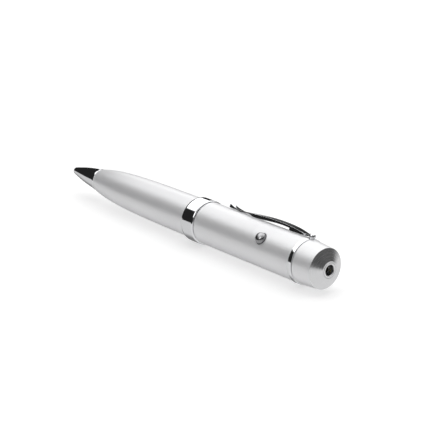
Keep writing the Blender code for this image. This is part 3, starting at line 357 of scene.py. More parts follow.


# %% [markdown]
# Painted shade darkens the colour of the button towards its rim and of the laser housing's bore nearly to
# black. Both depend on the distance from a line, such as the axis that the piece was turned on.

# %% Painted shade by distance
def painted_shade_by_distance(material, point, axis, near, far, shade_factors):
    """Painted shade: multiplies the colour by shade_factors[0] within the distance near of a line through
    point, in mm, and by shade_factors[1] beyond the distance far. The distance is the length of the cross
    product with the line's direction."""
    tree = material.node_tree
    shader = tree.nodes["Principled BSDF"]
    colour = shader.inputs["Base Color"].links[0].from_socket
    distance = vector(tree, "LENGTH", vector(tree, "CROSS_PRODUCT", shifted(tree, point), axis))
    share = node(tree, "ShaderNodeMapRange", interpolation_type="SMOOTHSTEP")
    limits = {"From Min": near * MM, "From Max": far * MM, "To Min": shade_factors[0], "To Max": shade_factors[1]}
    for key, value in limits.items():
        share.inputs[key].default_value = value
    link(tree, distance, share.inputs["Value"])
    mixed = node(tree, "ShaderNodeMix", data_type="RGBA", blend_type="MULTIPLY")
    mixed.inputs[0].default_value = 1.0
    link(tree, colour, mixed.inputs[MIX_FIRST])
    link(tree, share.outputs["Result"], mixed.inputs[MIX_SECOND])
    link(tree, mixed.outputs[MIX_RESULT], shader.inputs["Base Color"])


# %% [markdown]
# The barrels are satin anodised aluminium: blasted with fine beads, so that the grain has no direction, over
# the faint rings that the lathe left. The clip, bands and nose are polished chrome, which is nearly a
# mirror, with hairline marks from the buffing wheel. The button has a darker, smoked chrome, and the
# aperture's bezel a softer one. The laser's brass housing has painted shade in its bore: its colour is
# darkened nearly to black there, so that the aperture reads dark.

# %% Metals
satin = finish("satin_aluminium", (0.86, 0.86, 0.87), 0.5, 0.38)
grain(satin, (30, 6, 6), tone=((0.82, 0.82, 0.835), (0.90, 0.90, 0.905)))
grain(satin, (0.35, 8, 8), gloss=(0.34, 0.44), lift=0.0012)
grain(satin, 0.09, lift=0.002)
turned_face = finish("turned_aluminium", (0.84, 0.84, 0.85), 1.0, 0.22, slot="satin_aluminium")
grain(turned_face, 3, tone=((0.80, 0.80, 0.815), (0.88, 0.88, 0.885)))
grain(turned_face, 0.06, gloss=(0.17, 0.28), lift=0.0005, radial=True)
chrome = finish("polished_chrome", (0.86, 0.865, 0.88), 1.0, 0.06)
grain(chrome, 4, tone=((0.83, 0.835, 0.85), (0.89, 0.895, 0.91)))
grain(chrome, (0.2, 5, 5), gloss=(0.03, 0.09), lift=0.0002)
smoked_chrome = finish("smoked_chrome", (0.5, 0.5, 0.51), 1.0, 0.25, slot="polished_chrome")
grain(smoked_chrome, 2, tone=((0.47, 0.47, 0.48), (0.54, 0.54, 0.55)))
grain(smoked_chrome, 0.15, gloss=(0.2, 0.3), lift=0.0004)
soft_chrome = finish("soft_chrome", (0.84, 0.84, 0.855), 1.0, 0.3, slot="polished_chrome")
grain(soft_chrome, 2, tone=((0.88, 0.88, 0.89), (0.95, 0.95, 0.955)))
grain(soft_chrome, 0.05, gloss=(0.22, 0.36), lift=0.0004, radial=True)
BRASS = (0.72, 0.52, 0.24)
BRASS_TONE = ((0.62, 0.43, 0.18), (0.80, 0.60, 0.30))
brass = finish("turned_brass", BRASS, 1.0, 0.3)
grain(brass, (0.15, 6, 6), tone=BRASS_TONE, gloss=(0.2, 0.4), lift=0.002)
brass_painted_dark_bore = finish("brass_painted_dark_bore", BRASS, 1.0, 0.4, slot="turned_brass")
grain(brass_painted_dark_bore, (0.15, 6, 6), tone=BRASS_TONE, gloss=(0.3, 0.5), lift=0.002)
# Painted shade: within 3 mm of the axis, in the bore, the brass is darkened nearly to black
painted_shade_by_distance(brass_painted_dark_bore, AXIS, AHEAD, near=3.0, far=3.3, shade_factors=(0.02, 1.0))
steel = finish("bright_steel", (0.66, 0.66, 0.68), 1.0, 0.25)
grain(steel, (4, 0.2, 0.2), tone=((0.6, 0.6, 0.62), (0.72, 0.72, 0.74)), gloss=(0.16, 0.34), lift=0.0015)
gold = finish("gold_plate", (0.85, 0.62, 0.25), 1.0, 0.22)
grain(gold, (2, 0.3, 0.3), tone=((0.8, 0.56, 0.2), (0.9, 0.68, 0.31)), gloss=(0.15, 0.3), lift=0.001)
print(f"{len(FINISHES)} metals")

# %% [markdown]
# Inside are moulded plastics, a green board, chips, a rubber seal and glass. Moulded plastic has the fine
# sparkle of an eroded mould, and solder mask is a glossy skin with the copper's weave faintly under it.

# %% Plastics, board, rubber and glass
black_plastic = finish("black_plastic", (0.02, 0.02, 0.022), 0.0, 0.45)
grain(black_plastic, 0.15, tone=((0.016, 0.016, 0.018), (0.026, 0.026, 0.028)), lift=0.01)
grain(black_plastic, 1.5, gloss=(0.38, 0.55))
white_plastic = finish("white_plastic", (0.75, 0.75, 0.72), 0.0, 0.4)
WHITE_TONE = ((0.71, 0.71, 0.675), (0.78, 0.78, 0.75))
grain(white_plastic, 2, tone=WHITE_TONE, gloss=(0.32, 0.48), lift=0.004)
board = finish("green_board", (0.03, 0.2, 0.08), 0.0, 0.3)
grain(board, 0.4, tone=((0.022, 0.16, 0.06), (0.04, 0.25, 0.1)), gloss=(0.22, 0.4), lift=0.006)
resin = finish("chip_resin", (0.03, 0.03, 0.032), 0.0, 0.6)
RESIN_TONE = ((0.022, 0.022, 0.024), (0.04, 0.04, 0.042))
grain(resin, 0.1, tone=RESIN_TONE, gloss=(0.5, 0.7), lift=0.008)
rubber = finish("black_rubber", (0.02, 0.02, 0.02), 0.0, 0.7)
RUBBER_TONE = ((0.014, 0.014, 0.014), (0.03, 0.03, 0.03))
grain(rubber, 0.3, tone=RUBBER_TONE, gloss=(0.6, 0.8), lift=0.006)
glass = finish("clear_glass", (0.85, 0.88, 0.9), 0.0, 0.03, Transmission_Weight=1.0, IOR=1.5)
grain(glass, 1, gloss=(0.01, 0.06))
print(f"{len(FINISHES)} finishes")

# %% [markdown]
# ## From arrays to a piece
#
# A surface is a grid of points. Quads join each point to its neighbours, and a grid that goes once round
# joins its last column to its first. Several grids may meet along shared points: merging those closes the
# seams and poles. Recalculating the normals then turns every face outwards, and weighted normals keep a flat
# face flat beside a rounded edge.

# %% Skins
def quads_of(rows, columns, loop_rows, loop_columns):
    """Corner numbers of the quads of a grid, as an array of (row, column, corner)."""
    number = np.arange(rows * columns).reshape(rows, columns)
    if loop_rows:
        number = np.vstack([number, number[:1]])
    if loop_columns:
        number = np.hstack([number, number[:, :1]])
    return np.stack([number[:-1, :-1], number[:-1, 1:], number[1:, 1:], number[1:, :-1]], axis=-1)


def sheet(grid, loop_rows=False, loop_columns=True, keep=None):
    """(points, quads) of a grid of points; keep is a mask of the quads that stay."""
    quads = quads_of(*grid.shape[:2], loop_rows, loop_columns)
    quads = quads.reshape(-1, 4) if keep is None else quads[keep]
    return grid.reshape(-1, 3), quads


def capped(grid):
    """The grid with one more row at each end, drawn together to a point, which closes the end."""
    first, last = (np.broadcast_to(grid[end].mean(axis=0), grid[:1].shape) for end in (0, -1))
    return np.concatenate([first, grid, last])


# %% Objects
MERGE_DISTANCE = 1e-7
BROKEN_EDGE = np.radians(40)


def object_of(name, sheets):
    """One smooth object from one or more sheets that meet along shared points."""
    offsets = np.cumsum([0] + [len(points) for points, _ in sheets])
    points = np.concatenate([points for points, _ in sheets])
    quads = np.concatenate([quads + offset for (_, quads), offset in zip(sheets, offsets)])
    mesh = bpy.data.meshes.new(name)
    mesh.from_pydata(points.tolist(), [], quads.tolist())
    work = bmesh.new()
    work.from_mesh(mesh)
    bmesh.ops.remove_doubles(work, verts=work.verts, dist=MERGE_DISTANCE)
    bmesh.ops.recalc_face_normals(work, faces=work.faces)
    open_edges = sum(edge.is_boundary for edge in work.edges)
    work.to_mesh(mesh)
    work.free()
    mesh.shade_smooth()
    made = bpy.data.objects.new(name, mesh)
    bpy.context.scene.collection.objects.link(made)
    print(f"{name}: {len(mesh.polygons)} faces, {open_edges} open edges")
    return made


def piece(name, sheets, body, material, *nodes, wall=0.0):
    """An object with a finish, riding on a body of the frame in place of the named solids. A sheet with a
    wall is thickened inwards by that much, and its edges are broken."""
    made = object_of(name, sheets)
    made.data.materials.append(material)
    if wall:
        thick = made.modifiers.new("wall", "SOLIDIFY")
        thick.thickness = wall
        thick.use_even_offset = True
        edge = made.modifiers.new("edge", "BEVEL")
        edge.width = wall / 5
        edge.segments = 2
        edge.angle_limit = BROKEN_EDGE
    even = made.modifiers.new("even_shading", "WEIGHTED_NORMAL")
    even.keep_sharp = True
    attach(made, body)
    if nodes:
        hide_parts(*nodes)
    return made


# %% [markdown]
# ## Turned pieces
#
# Most of a pen comes off a lathe. A turned piece is a closed outline of (x, radius), carried round the axis
# in small steps. A sharp corner would never catch the light, so each corner of the outline is first replaced
# by a small curve, as a real edge is broken with a file.

# %% Lathe
SIDES = 160
TURN = np.linspace(0, 2 * np.pi, SIDES, endpoint=False)
MOST_OF_SIDE = 0.48


def level(xs, height):
    """Points of an outline that all lie at one height, or one radius."""
    return np.column_stack([xs, np.full(len(xs), height)])


def rounded(corners, radius, steps=6):
    """Closed outlines, one or a stack, with each corner replaced by a parabola. With A and B one radius back
    along the corner P's two sides, the curve is (1-t)^2 A + 2t(1-t) P + t^2 B."""
    corners = np.asarray(corners, float)
    before = np.roll(corners, 1, axis=-2) - corners
    after = np.roll(corners, -1, axis=-2) - corners
    long_before = np.maximum(np.linalg.norm(before, axis=-1), 1e-12)
    long_after = np.maximum(np.linalg.norm(after, axis=-1), 1e-12)
    reach = np.minimum(radius, MOST_OF_SIDE * np.minimum(long_before, long_after))
    start = (corners + before * (reach / long_before)[..., None])[..., None, :]
    end = (corners + after * (reach / long_after)[..., None])[..., None, :]
    t = np.linspace(0, 1, steps)[:, None]
    curve = (1 - t) ** 2 * start + 2 * t * (1 - t) * corners[..., None, :] + t**2 * end
    return curve.reshape(*corners.shape[:-2], -1, 2)


def thinned(outline):
    """The outline without points that lie on the one before."""
    step = np.linalg.norm(outline - np.roll(outline, 1, axis=0), axis=1)
    return outline[step > 1e-8]


def carried_round(outline, angles=TURN):
    """Turned surface of (x, r): y = r sin a, z = axis + r cos a, with the angle a from straight up towards
    +Y."""
    x = np.repeat(outline[:, :1], len(angles), axis=1)
    radius = outline[:, 1:]
    return np.stack([x, radius * np.sin(angles), AXIS_Z + radius * np.cos(angles)], axis=-1)


def turned(name, corners, radius, body, material, *nodes):
    """A piece off the lathe: a closed outline of (x, r) with its corners rounded, carried round the axis."""
    outline = thinned(rounded(corners, radius))
    return piece(name, [sheet(carried_round(outline), loop_rows=True)], body, material, *nodes)


# %% [markdown]
# ## The lower barrel and the nose
#
# The lower barrel is a cigar: nearly straight behind, then a rounded shoulder that comes in towards the
# nose. Its radius falls with the square of the distance from the band, and with its sixth power near the
# end. Its bore is wide for the plug, narrower for the twist mechanism, and comes in by a cone to the nose.

# %% Lower barrel
LOWER_TAPER = 0.9 * MM
LOWER_SHOULDER = 1.8 * MM
LOWER_STATIONS = 70
CROWDING = 1.6  # stations lie closer together towards the nose
LOWER_EDGE = 0.12 * MM
PLUG_BORE_R = 6.33 * MM
MECH_BORE_R = 5.65 * MM
NOSE_BORE_R = 3.62 * MM
lower_length = lower_x1 - lower_x0
plug_bore_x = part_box("plug_socket")[0].x - 0.25 * MM
bore_cone_x0 = lower_x0 + 6.25 * MM
bore_cone_x1 = lower_x0 + 16.25 * MM


def lower_radius(x):
    """R - taper u^2 - shoulder u^6, with u from 0 at the band to 1 at the nose."""
    u = (lower_x1 - x) / lower_length
    return LOWER_R - LOWER_TAPER * u**2 - LOWER_SHOULDER * u**6


station = lower_x0 + lower_length * np.linspace(0, 1, LOWER_STATIONS) ** CROWDING
outer = np.column_stack([station, lower_radius(station)])
bore = [
    (lower_x1, PLUG_BORE_R),
    (plug_bore_x, PLUG_BORE_R),
    (plug_bore_x, MECH_BORE_R),
    (bore_cone_x1, MECH_BORE_R),
    (bore_cone_x0, NOSE_BORE_R),
    (lower_x0, NOSE_BORE_R),
]
corners = np.vstack([outer, bore])
soft = np.zeros(len(corners))
soft[[0, LOWER_STATIONS - 1]] = LOWER_EDGE
turned("lower_barrel_shell", corners, soft, "twist_barrel", satin, "lower_barrel")

# %% [markdown]
# The chrome nose screws into the lower barrel by a spigot. Its cone swells a little in the middle, and a low
# collar at its base catches a bright line.

# %% Nose cone
nose_x0, nose_end, NOSE_R = span("nose_cone")
nose_x1 = lower_x0 - SEAT
collar_x = nose_x1 - 0.9 * MM
TIP_R = 1.24 * MM
TIP_EDGE = 0.12 * MM
TIP_BORE_R = 0.8 * MM
TIP_BORE_L = 1.2 * MM
TIP_BORE_EDGE = 0.06 * MM
NOSE_BULGE = 0.3 * MM
NOSE_STEP = 0.15 * MM
SPIGOT_R = 3.45 * MM
SPIGOT_BORE_R = 2.66 * MM
COLLAR_EDGES = np.array((0.08, 0.14, 0.1)) * MM
v = np.linspace(0, 1, 40)
cone = TIP_R + (NOSE_R - NOSE_STEP - TIP_R) * v + NOSE_BULGE * np.sin(np.pi * v)
outer = np.column_stack([nose_x0 + (collar_x - nose_x0) * v, cone])
back = [
    (collar_x, NOSE_R),
    (nose_x1, NOSE_R),
    (nose_x1, SPIGOT_R),
    (nose_end, SPIGOT_R),
    (nose_end, SPIGOT_BORE_R),
    (collar_x, SPIGOT_BORE_R),
    (nose_x0 + TIP_BORE_L, TIP_BORE_R),
    (nose_x0, TIP_BORE_R),
]
corners = np.vstack([outer, back])
soft = np.zeros(len(corners))
soft[0] = TIP_EDGE
soft[len(outer) - 1 : len(outer) + 2] = COLLAR_EDGES
soft[-1] = TIP_BORE_EDGE
turned("nose_cone_shell", corners, soft, "twist_barrel", chrome, "nose_cone")

# %% [markdown]
# ## The centre band
#
# The band stands proud of both barrels and hides the joint where the pen pulls apart. Its lips are
# chamfered in two steps, so that each shows a thin line of its own beside the mirror of the middle.

# %% Centre band
BAND_BORE_R = 6.82 * MM
BAND_EDGE = 0.12 * MM
# Each lip is given by the distance from the band's end and the depth below its widest radius
NOSE_LIP = np.array(((0.0, 0.4), (0.18, 0.11), (0.8, 0.0))) * MM
TAIL_LIP = np.array(((0.5, 0.0), (0.15, 0.12), (0.0, 0.4))) * MM
corners = np.vstack(
    [
        [(band_x0, BAND_BORE_R)],
        (band_x0, BAND_R) + NOSE_LIP * (1, -1),
        (band_x1, BAND_R) - TAIL_LIP,
        [(band_x1, BAND_BORE_R)],
    ]
)
turned("centre_band_ring", corners, BAND_EDGE, "writing_half", chrome, "centre_band")

# %% [markdown]
# ## The upper barrel
#
# The upper barrel is a tube with a hole in its side for the button and a threaded neck at the tail for the
# cap. A grid that is turned has no place for a round hole, and cutting one would leave ragged edges. So the
# grid has a square window, outside and in the bore, and one patch fills it: rings that start at the window's
# edge, close down to the hole, roll over its rim, go through the wall and open again to the window of the
# bore.

# %% Button frame
press = next(joint for joint in frame["joints"] if joint["name"] == "button_press")
BUTTON_OUT = -np.array(press["axis"])
BUTTON_SIDE = np.cross(AHEAD, BUTTON_OUT)
BUTTON_TURN = np.arctan2(BUTTON_OUT[1], BUTTON_OUT[2])
BUTTON_R = 1.9 * MM
HOLE_R = 2.08 * MM
button_x = sum(corner.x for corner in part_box("laser_button")) / 2


def beside_button(dx, sideways, height):
    """Points given by their way along the pen, sideways from the button's axis and out from the pen's
    axis."""
    place = AXIS + (dx + button_x)[..., None] * AHEAD
    return place + sideways[..., None] * BUTTON_SIDE + height[..., None] * BUTTON_OUT


print(f"button at x {button_x / MM:.1f} mm, {np.degrees(BUTTON_TURN):.0f} degrees from the top")

# %% Upper barrel outline
UPPER_EDGE = 0.22 * MM
BORE_R = 6.53 * MM
BORE_EDGE = 0.1 * MM
NECK_R = 6.07 * MM
NECK_BORE_R = 5.36 * MM
NECK_STATIONS = 64
THREAD_DEPTH = 0.22 * MM
WINDOW_CELLS = 24
WINDOW_HALF = 3.4 * MM
barrel_x1 = ring_x0 - SEAT
shoulder_x = barrel_x1 - 1.5 * MM
window_x = button_x + np.linspace(-1, 1, WINDOW_CELLS + 1) * WINDOW_HALF
neck_stations = np.linspace(barrel_x1 + 0.05 * MM, upper_end - 0.05 * MM, NECK_STATIONS)
neck_end = [
    (upper_end, NECK_R - THREAD_DEPTH),
    (upper_end, NECK_BORE_R),
    (shoulder_x, NECK_BORE_R),
    (shoulder_x, BORE_R),
]
corners = np.vstack(
    [
        [(upper_x0, UPPER_R)],
        level(window_x, UPPER_R),
        [(barrel_x1, UPPER_R), (barrel_x1, NECK_R)],
        level(neck_stations, NECK_R),
        neck_end,
        level(window_x[::-1], BORE_R),
        [(upper_x0, BORE_R)],
    ]
)
soft = np.zeros(len(corners))
soft[[0, len(window_x) + 1]] = UPPER_EDGE
soft[-1] = BORE_EDGE
outline = thinned(rounded(corners, soft))
angles = BUTTON_TURN - np.pi + TURN
barrel_grid = carried_round(outline, angles)
print(f"upper barrel outline of {len(outline)} points")

# %% [markdown]
# The thread on the neck is the same grid with its radius lowered by a wave that climbs one pitch in each
# turn. It fades in and out at its ends, as a cut thread does.

# %% Thread
THREAD_PITCH = 1.0 * MM
THREAD_START = 1.5 * MM
SAME = 1e-9
line_x = outline[:, :1]
line_r = outline[:, 1:]
on_neck = (np.abs(line_r - NECK_R) < SAME) & (line_x > barrel_x1)
phase = line_x / THREAD_PITCH - angles / (2 * np.pi)
wave = np.abs(2 * (phase % 1) - 1)
fade = np.minimum(line_x - barrel_x1 - THREAD_START, upper_end - line_x) / THREAD_PITCH
groove = np.clip(fade, 0, 1) * np.clip(1.4 * wave - 0.2, 0, 1)
sunk = np.where(on_neck, THREAD_DEPTH * groove, 0)
barrel_grid[..., 1] = (line_r - sunk) * np.sin(angles)
barrel_grid[..., 2] = AXIS_Z + (line_r - sunk) * np.cos(angles)
print(f"thread of {THREAD_PITCH / MM} mm pitch, {sunk.max() / MM:.2f} mm deep")

# %% Button window
in_window = np.abs(outline[:, 0] - button_x) < WINDOW_HALF + SAME
in_window &= (np.abs(outline[:, 1] - UPPER_R) < SAME) | (np.abs(outline[:, 1] - BORE_R) < SAME)
dropped_rows = in_window & np.roll(in_window, -1)
dropped_columns = np.abs(np.arange(SIDES) + 0.5 - SIDES / 2) < WINDOW_CELLS / 2
keep = ~(dropped_rows[:, None] & dropped_columns[None, :])
half_turn = WINDOW_CELLS * np.pi / SIDES
side = np.linspace(-1, 1, WINDOW_CELLS, endpoint=False)
flat = np.ones(WINDOW_CELLS)
rim_dx = np.concatenate([side, flat, -side, -flat]) * WINDOW_HALF
rim_turn = np.concatenate([-flat, side, flat, -side]) * half_turn
around = np.arctan2(UPPER_R * rim_turn, rim_dx)
print(f"window of {len(rim_dx)} points, {(~keep).sum()} quads open")

# %% Button hole
RIM_EDGE = 0.06 * MM
RIM_STEPS = 5
WALL_STEPS = 4
CLOSING_STEPS = 9


def closing(radius, hole, shares):
    """Rings on a cylinder from the window's edge at share 0 to a circle of the hole's radius at share 1.
    Along the pen and in turn about its axis, each ring lies between the two."""
    shares = shares[:, None]
    circle_turn = np.arcsin(hole * np.sin(around) / radius)
    dx = rim_dx + (hole * np.cos(around) - rim_dx) * shares
    turn = rim_turn + (circle_turn - rim_turn) * shares
    return beside_button(dx, radius * np.sin(turn), radius * np.cos(turn))


def circle_ring(radius, hole, sink):
    """A circle round the button's axis on a cylinder, sunk along that axis."""
    sideways = hole * np.sin(around)
    return beside_button(hole * np.cos(around), sideways, np.sqrt(radius**2 - sideways**2) - sink)


shares = np.linspace(0, 1, CLOSING_STEPS)
rolled = np.linspace(0, 1, RIM_STEPS)[1:] * np.pi / 2
rim = [
    circle_ring(UPPER_R, HOLE_R + RIM_EDGE * (1 - np.sin(angle)), RIM_EDGE * (1 - np.cos(angle)))
    for angle in rolled
]
top_ring = circle_ring(UPPER_R, HOLE_R, RIM_EDGE)
low_ring = circle_ring(BORE_R, HOLE_R, 0.0)
through = top_ring + (low_ring - top_ring) * np.linspace(0, 1, WALL_STEPS)[1:-1, None, None]
outside = closing(UPPER_R, HOLE_R + RIM_EDGE, shares)
inside = closing(BORE_R, HOLE_R, shares[::-1])
patch = np.concatenate([outside, np.stack(rim), through, inside])
sheets = [sheet(barrel_grid, loop_rows=True, keep=keep), sheet(patch)]
piece("upper_barrel_shell", sheets, "drive_half", satin, "upper_barrel")

# %% [markdown]
# ## The button
#
# The button is a dome of smoked chrome, darkened towards its rim by painted shade, on a flange that keeps it
# in the barrel. It is turned like the rest, but about its own axis, which points out of the pen's side.
# Powers of the cosine and the sine below one make the dome fuller than a half ball.

# %% Laser button
DOME_BASE = UPPER_R + 0.03 * MM
DOME_RISE = 1.5 * MM
DOME_POWER = 0.8
FLANGE_R = 2.56 * MM
FLANGE_OUT = 5.88 * MM
FLANGE_IN = 5.57 * MM
rise = np.linspace(0, np.pi / 2, 24)
dome_r = BUTTON_R * np.cos(rise) ** DOME_POWER
dome = np.column_stack([dome_r, DOME_BASE + DOME_RISE * np.sin(rise) ** DOME_POWER])
flange = [(0.0, FLANGE_IN), (FLANGE_R, FLANGE_IN), (FLANGE_R, FLANGE_OUT), (BUTTON_R, FLANGE_OUT)]
button_r, button_height = np.vstack([flange, dome]).T
spin = TURN[:, None]
heights = np.broadcast_to(button_height, (SIDES, len(button_height)))
button_grid = beside_button(np.cos(spin) * button_r, np.sin(spin) * button_r, heights)
button_skin = sheet(button_grid, loop_rows=True, loop_columns=False)
# Painted shade: the dome's colour falls from full in its middle to 0.65 of it at its rim
painted_shade_by_distance(smoked_chrome, AXIS + button_x * AHEAD, BUTTON_OUT, near=0.9, far=1.9, shade_factors=(1.0, 0.65))
piece("laser_button_dome", [button_skin], "button", smoked_chrome, "laser_button")

# %% [markdown]
# ## The clip ring and its lug
#
# A thin chrome ring sits between barrel and cap, with lips that close the gaps beside it. A small ball
# stands on it, the lug, with a slot that holds the clip's root. The ball is a turned circle on its own axis,
# and Blender's Boolean joins it to the ring and cuts the slot: the line where a ball meets a ring is not
# worth working out by hand.

# %% Clip frame
flex = next(joint for joint in frame["joints"] if joint["name"] == "clip_flex")
CLIP_ACROSS = np.array(flex["axis"])
CLIP_UP = np.cross(AHEAD, CLIP_ACROSS)
STUB_HEIGHT = float((np.array(flex["pos_m"]) - AXIS) @ CLIP_UP)


def on_clip(x, across, height):
    """Points given by x, by how far across the clip they lie and by their height above the pen's axis."""
    place = AXIS + x[..., None] * AHEAD
    return place + across[..., None] * CLIP_ACROSS + height[..., None] * CLIP_UP


def combined(target, other, operation):
    """The target's mesh becomes the union or the difference of the two; the other is removed."""
    target.modifiers.clear()
    change = target.modifiers.new("combine", "BOOLEAN")
    change.operation = operation
    change.solver = "EXACT"
    change.object = other
    graph = bpy.context.evaluated_depsgraph_get()
    mesh = bpy.data.meshes.new_from_object(target.evaluated_get(graph))
    target.modifiers.clear()
    target.data = mesh
    bpy.data.objects.remove(other)


print(f"clip root {STUB_HEIGHT / MM:.2f} mm above the axis")

# %% Clip ring
RING_R = 7.47 * MM
RING_BORE_R = 6.22 * MM
LIP_R = 6.9 * MM
LIP = 0.1 * MM
corners = [
    (ring_x0, RING_BORE_R),
    (ring_x0, LIP_R),
    (ring_x0 - LIP, LIP_R),
    (ring_x0 - LIP, RING_R),
    (ring_x1 + LIP, RING_R),
    (ring_x1 + LIP, LIP_R),
    (ring_x1, LIP_R),
    (ring_x1, RING_BORE_R),
]
soft = np.array((0.1, 0, 0, 0.1, 0.06, 0, 0, 0.1)) * MM
ring = turned("clip_ring_and_lug", corners, soft, "drive_half", chrome, "clip_ring")

# %% Lug and slot
BALL_ROWS = 25
BALL_COLUMNS = 48
STUB_HALF_W = 0.75 * MM
STUB_HALF_H = 0.3 * MM
SLOT_GAP = 0.18 * MM
around_ball = np.linspace(0, 2 * np.pi, BALL_COLUMNS, endpoint=False)
fall = np.linspace(0, np.pi, BALL_ROWS)[:, None]
ball = on_clip(
    lug_x + LUG_R * np.sin(fall) * np.cos(around_ball),
    LUG_R * np.sin(fall) * np.sin(around_ball),
    np.broadcast_to(STUB_HEIGHT + LUG_R * np.cos(fall), (BALL_ROWS, BALL_COLUMNS)),
)
combined(ring, object_of("lug", [sheet(ball)]), "UNION")
slot_x = np.array((lug_x - 2 * LUG_R, lug_x - 0.12 * MM))
slot_half = np.array((STUB_HALF_W + SLOT_GAP, STUB_HALF_H + SLOT_GAP))
slot_corners = np.array(((-1, -1), (1, -1), (1, 1), (-1, 1))) * slot_half
open_share = np.array((0, 1, 1, 0))[:, None]  # both ends of the box are drawn together to a point
slot_box = on_clip(
    np.repeat(slot_x[[0, 0, 1, 1], None], 4, axis=1),
    slot_corners[None, :, 0] * open_share,
    STUB_HEIGHT + slot_corners[None, :, 1] * open_share,
)
combined(ring, object_of("slot", [sheet(slot_box)]), "DIFFERENCE")
ring.modifiers.new("even_shading", "WEIGHTED_NORMAL").keep_sharp = True
ring.data.set_sharp_from_angle(angle=np.radians(40))
print(f"clip ring: {len(ring.data.polygons)} faces")

# %% [markdown]
# ## The clip
#
# The clip is a cast bar, plated with chrome. It leaves the lug as a flat stub, thickens to a block, arches
# over the barrel as an arm whose leaf is widest two thirds of the way along, touches the barrel, and ends in
# a small upward flick. Its top follows a smooth curve, and its underside lies along the barrel. One section
# does it all, with a width and a depth that change along the path.

# %% Clip path
STRIP_T = 0.5 * MM
CAD_BARREL_R = 7.306 * MM
ARM_STEPS = 90
FLICK_STEPS = 30
STUB_STEPS = 10
FLICK_L = 6.6 * MM
FLICK_RISE = 1.25 * MM
stub_x1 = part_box("pocket_clip")[1].x
root_x = ring_x0 - 1.55 * MM
contact_x = root_x - 30.6 * MM
contact_z = CAD_BARREL_R + SEAT + STRIP_T / 2


def bezier(points, steps):
    """Bezier curve through whole arrays: points between neighbours, again and again, until one is left."""
    points = np.asarray(points, float)[:, None, :]
    t = np.linspace(0, 1, steps)[None, :, None]
    while len(points) > 1:
        points = points[:-1] * (1 - t) + points[1:] * t
    return points[0]


arm_handles = [
    (root_x, STUB_HEIGHT),
    (root_x - 7.6 * MM, CAD_BARREL_R + 2.3 * MM),
    (contact_x + 12 * MM, CAD_BARREL_R + 1.85 * MM),
    (contact_x, contact_z),
]
flick_handles = [
    (contact_x, contact_z),
    (contact_x - FLICK_L / 2, contact_z),
    (contact_x - FLICK_L, contact_z + FLICK_RISE),
]
stub = level(np.linspace(stub_x1, root_x, STUB_STEPS), STUB_HEIGHT)
arm = bezier(arm_handles, ARM_STEPS)
path = np.vstack([stub[:-1], arm[:-1], bezier(flick_handles, FLICK_STEPS)])
print(f"clip path of {len(path)} points, {(path[0, 0] - path[-1, 0]) / MM:.1f} mm long")

# %% Clip stations
block_x1 = ring_x0 - 1.3 * MM
block_x0 = root_x - 6.65 * MM
waist_x = ring_x0 - 1.9 * MM
leaf_x = contact_x + 7.5 * MM
STATION = 0.04 * MM
WAIST_STATIONS = 6


def with_stations(path, xs):
    """The path with points added at given x, in order from the root to the tip."""
    heights = np.interp(xs, path[::-1, 0], path[::-1, 1])
    whole = np.vstack([path, np.column_stack([xs, heights])])
    return whole[np.argsort(-whole[:, 0], kind="stable")]


# Two stations close together at each end of the block make its ends upright
block_ends = np.array((block_x0, block_x1))
path = with_stations(path, np.concatenate([block_ends - STATION, block_ends + STATION]))
path = with_stations(path, np.linspace(waist_x, waist_x + 0.25 * MM, WAIST_STATIONS))
x, height = path.T
run = np.gradient(path, axis=0)
run /= np.linalg.norm(run, axis=1)[:, None]
print(f"clip of {len(path)} stations")

# %% Clip widths and depths
CONTACT_W = 2.0 * MM
LEAF_W = 4.5 * MM
BLOCK_W = 3.6 * MM
WAIST_W = 2.8 * MM
TIP_W = 1.7 * MM
WAIST_L = 0.4 * MM
TIP_ROUND = 0.55 * MM
BLUNT = 0.004  # the tip keeps a little width
LEAF_DEPTH = 0.8 * MM
ARM_DEPTH = 0.3 * MM
ARM_CLEAR = 0.3 * MM
BLOCK_CLEAR = 0.25 * MM
tip_x = path[-1, 0]


def between(first, last, x0, x1):
    """A value that eases from first at x0 to last at x1: with s the share of the way, 3s^2 - 2s^3 of it."""
    share = np.clip((x - x0) / (x1 - x0), 0, 1)
    return first + (last - first) * share**2 * (3 - 2 * share)


parts = {
    "tip": (x < contact_x, CONTACT_W + (TIP_W - CONTACT_W) * (contact_x - x) / (contact_x - tip_x)),
    "stub": (x > waist_x, between(WAIST_W, 2 * STUB_HALF_W, waist_x, waist_x + WAIST_L)),
    "block": (x > block_x0, between(BLOCK_W, WAIST_W, block_x0, waist_x)),
    "neck": (x < leaf_x, between(CONTACT_W, LEAF_W, contact_x, leaf_x)),
}
leaf = between(LEAF_W, BLOCK_W, leaf_x, block_x0)
width = np.select([where for where, _ in parts.values()], [wide for _, wide in parts.values()], leaf)
from_tip = np.clip((x - tip_x) / TIP_ROUND, BLUNT, 1)
width *= np.sqrt(1 - (1 - from_tip) ** 2)
space = height - STRIP_T / 2 - CAD_BARREL_R
arm_depth = np.clip(space - ARM_CLEAR, 0, between(LEAF_DEPTH, ARM_DEPTH, leaf_x, block_x0))
depth = np.where(x > block_x0, np.clip(space - BLOCK_CLEAR, 0, None), arm_depth)
depth *= x < block_x1
print(f"clip up to {width.max() / MM:.1f} mm wide and {(depth.max() + STRIP_T) / MM:.1f} mm thick")

# %% [markdown]
# The section is a bar with a slightly crowned top. It stands square to the path, and its corners are
# rounded. Other pieces don't mirror the clip, which would only smear the satin beside it.

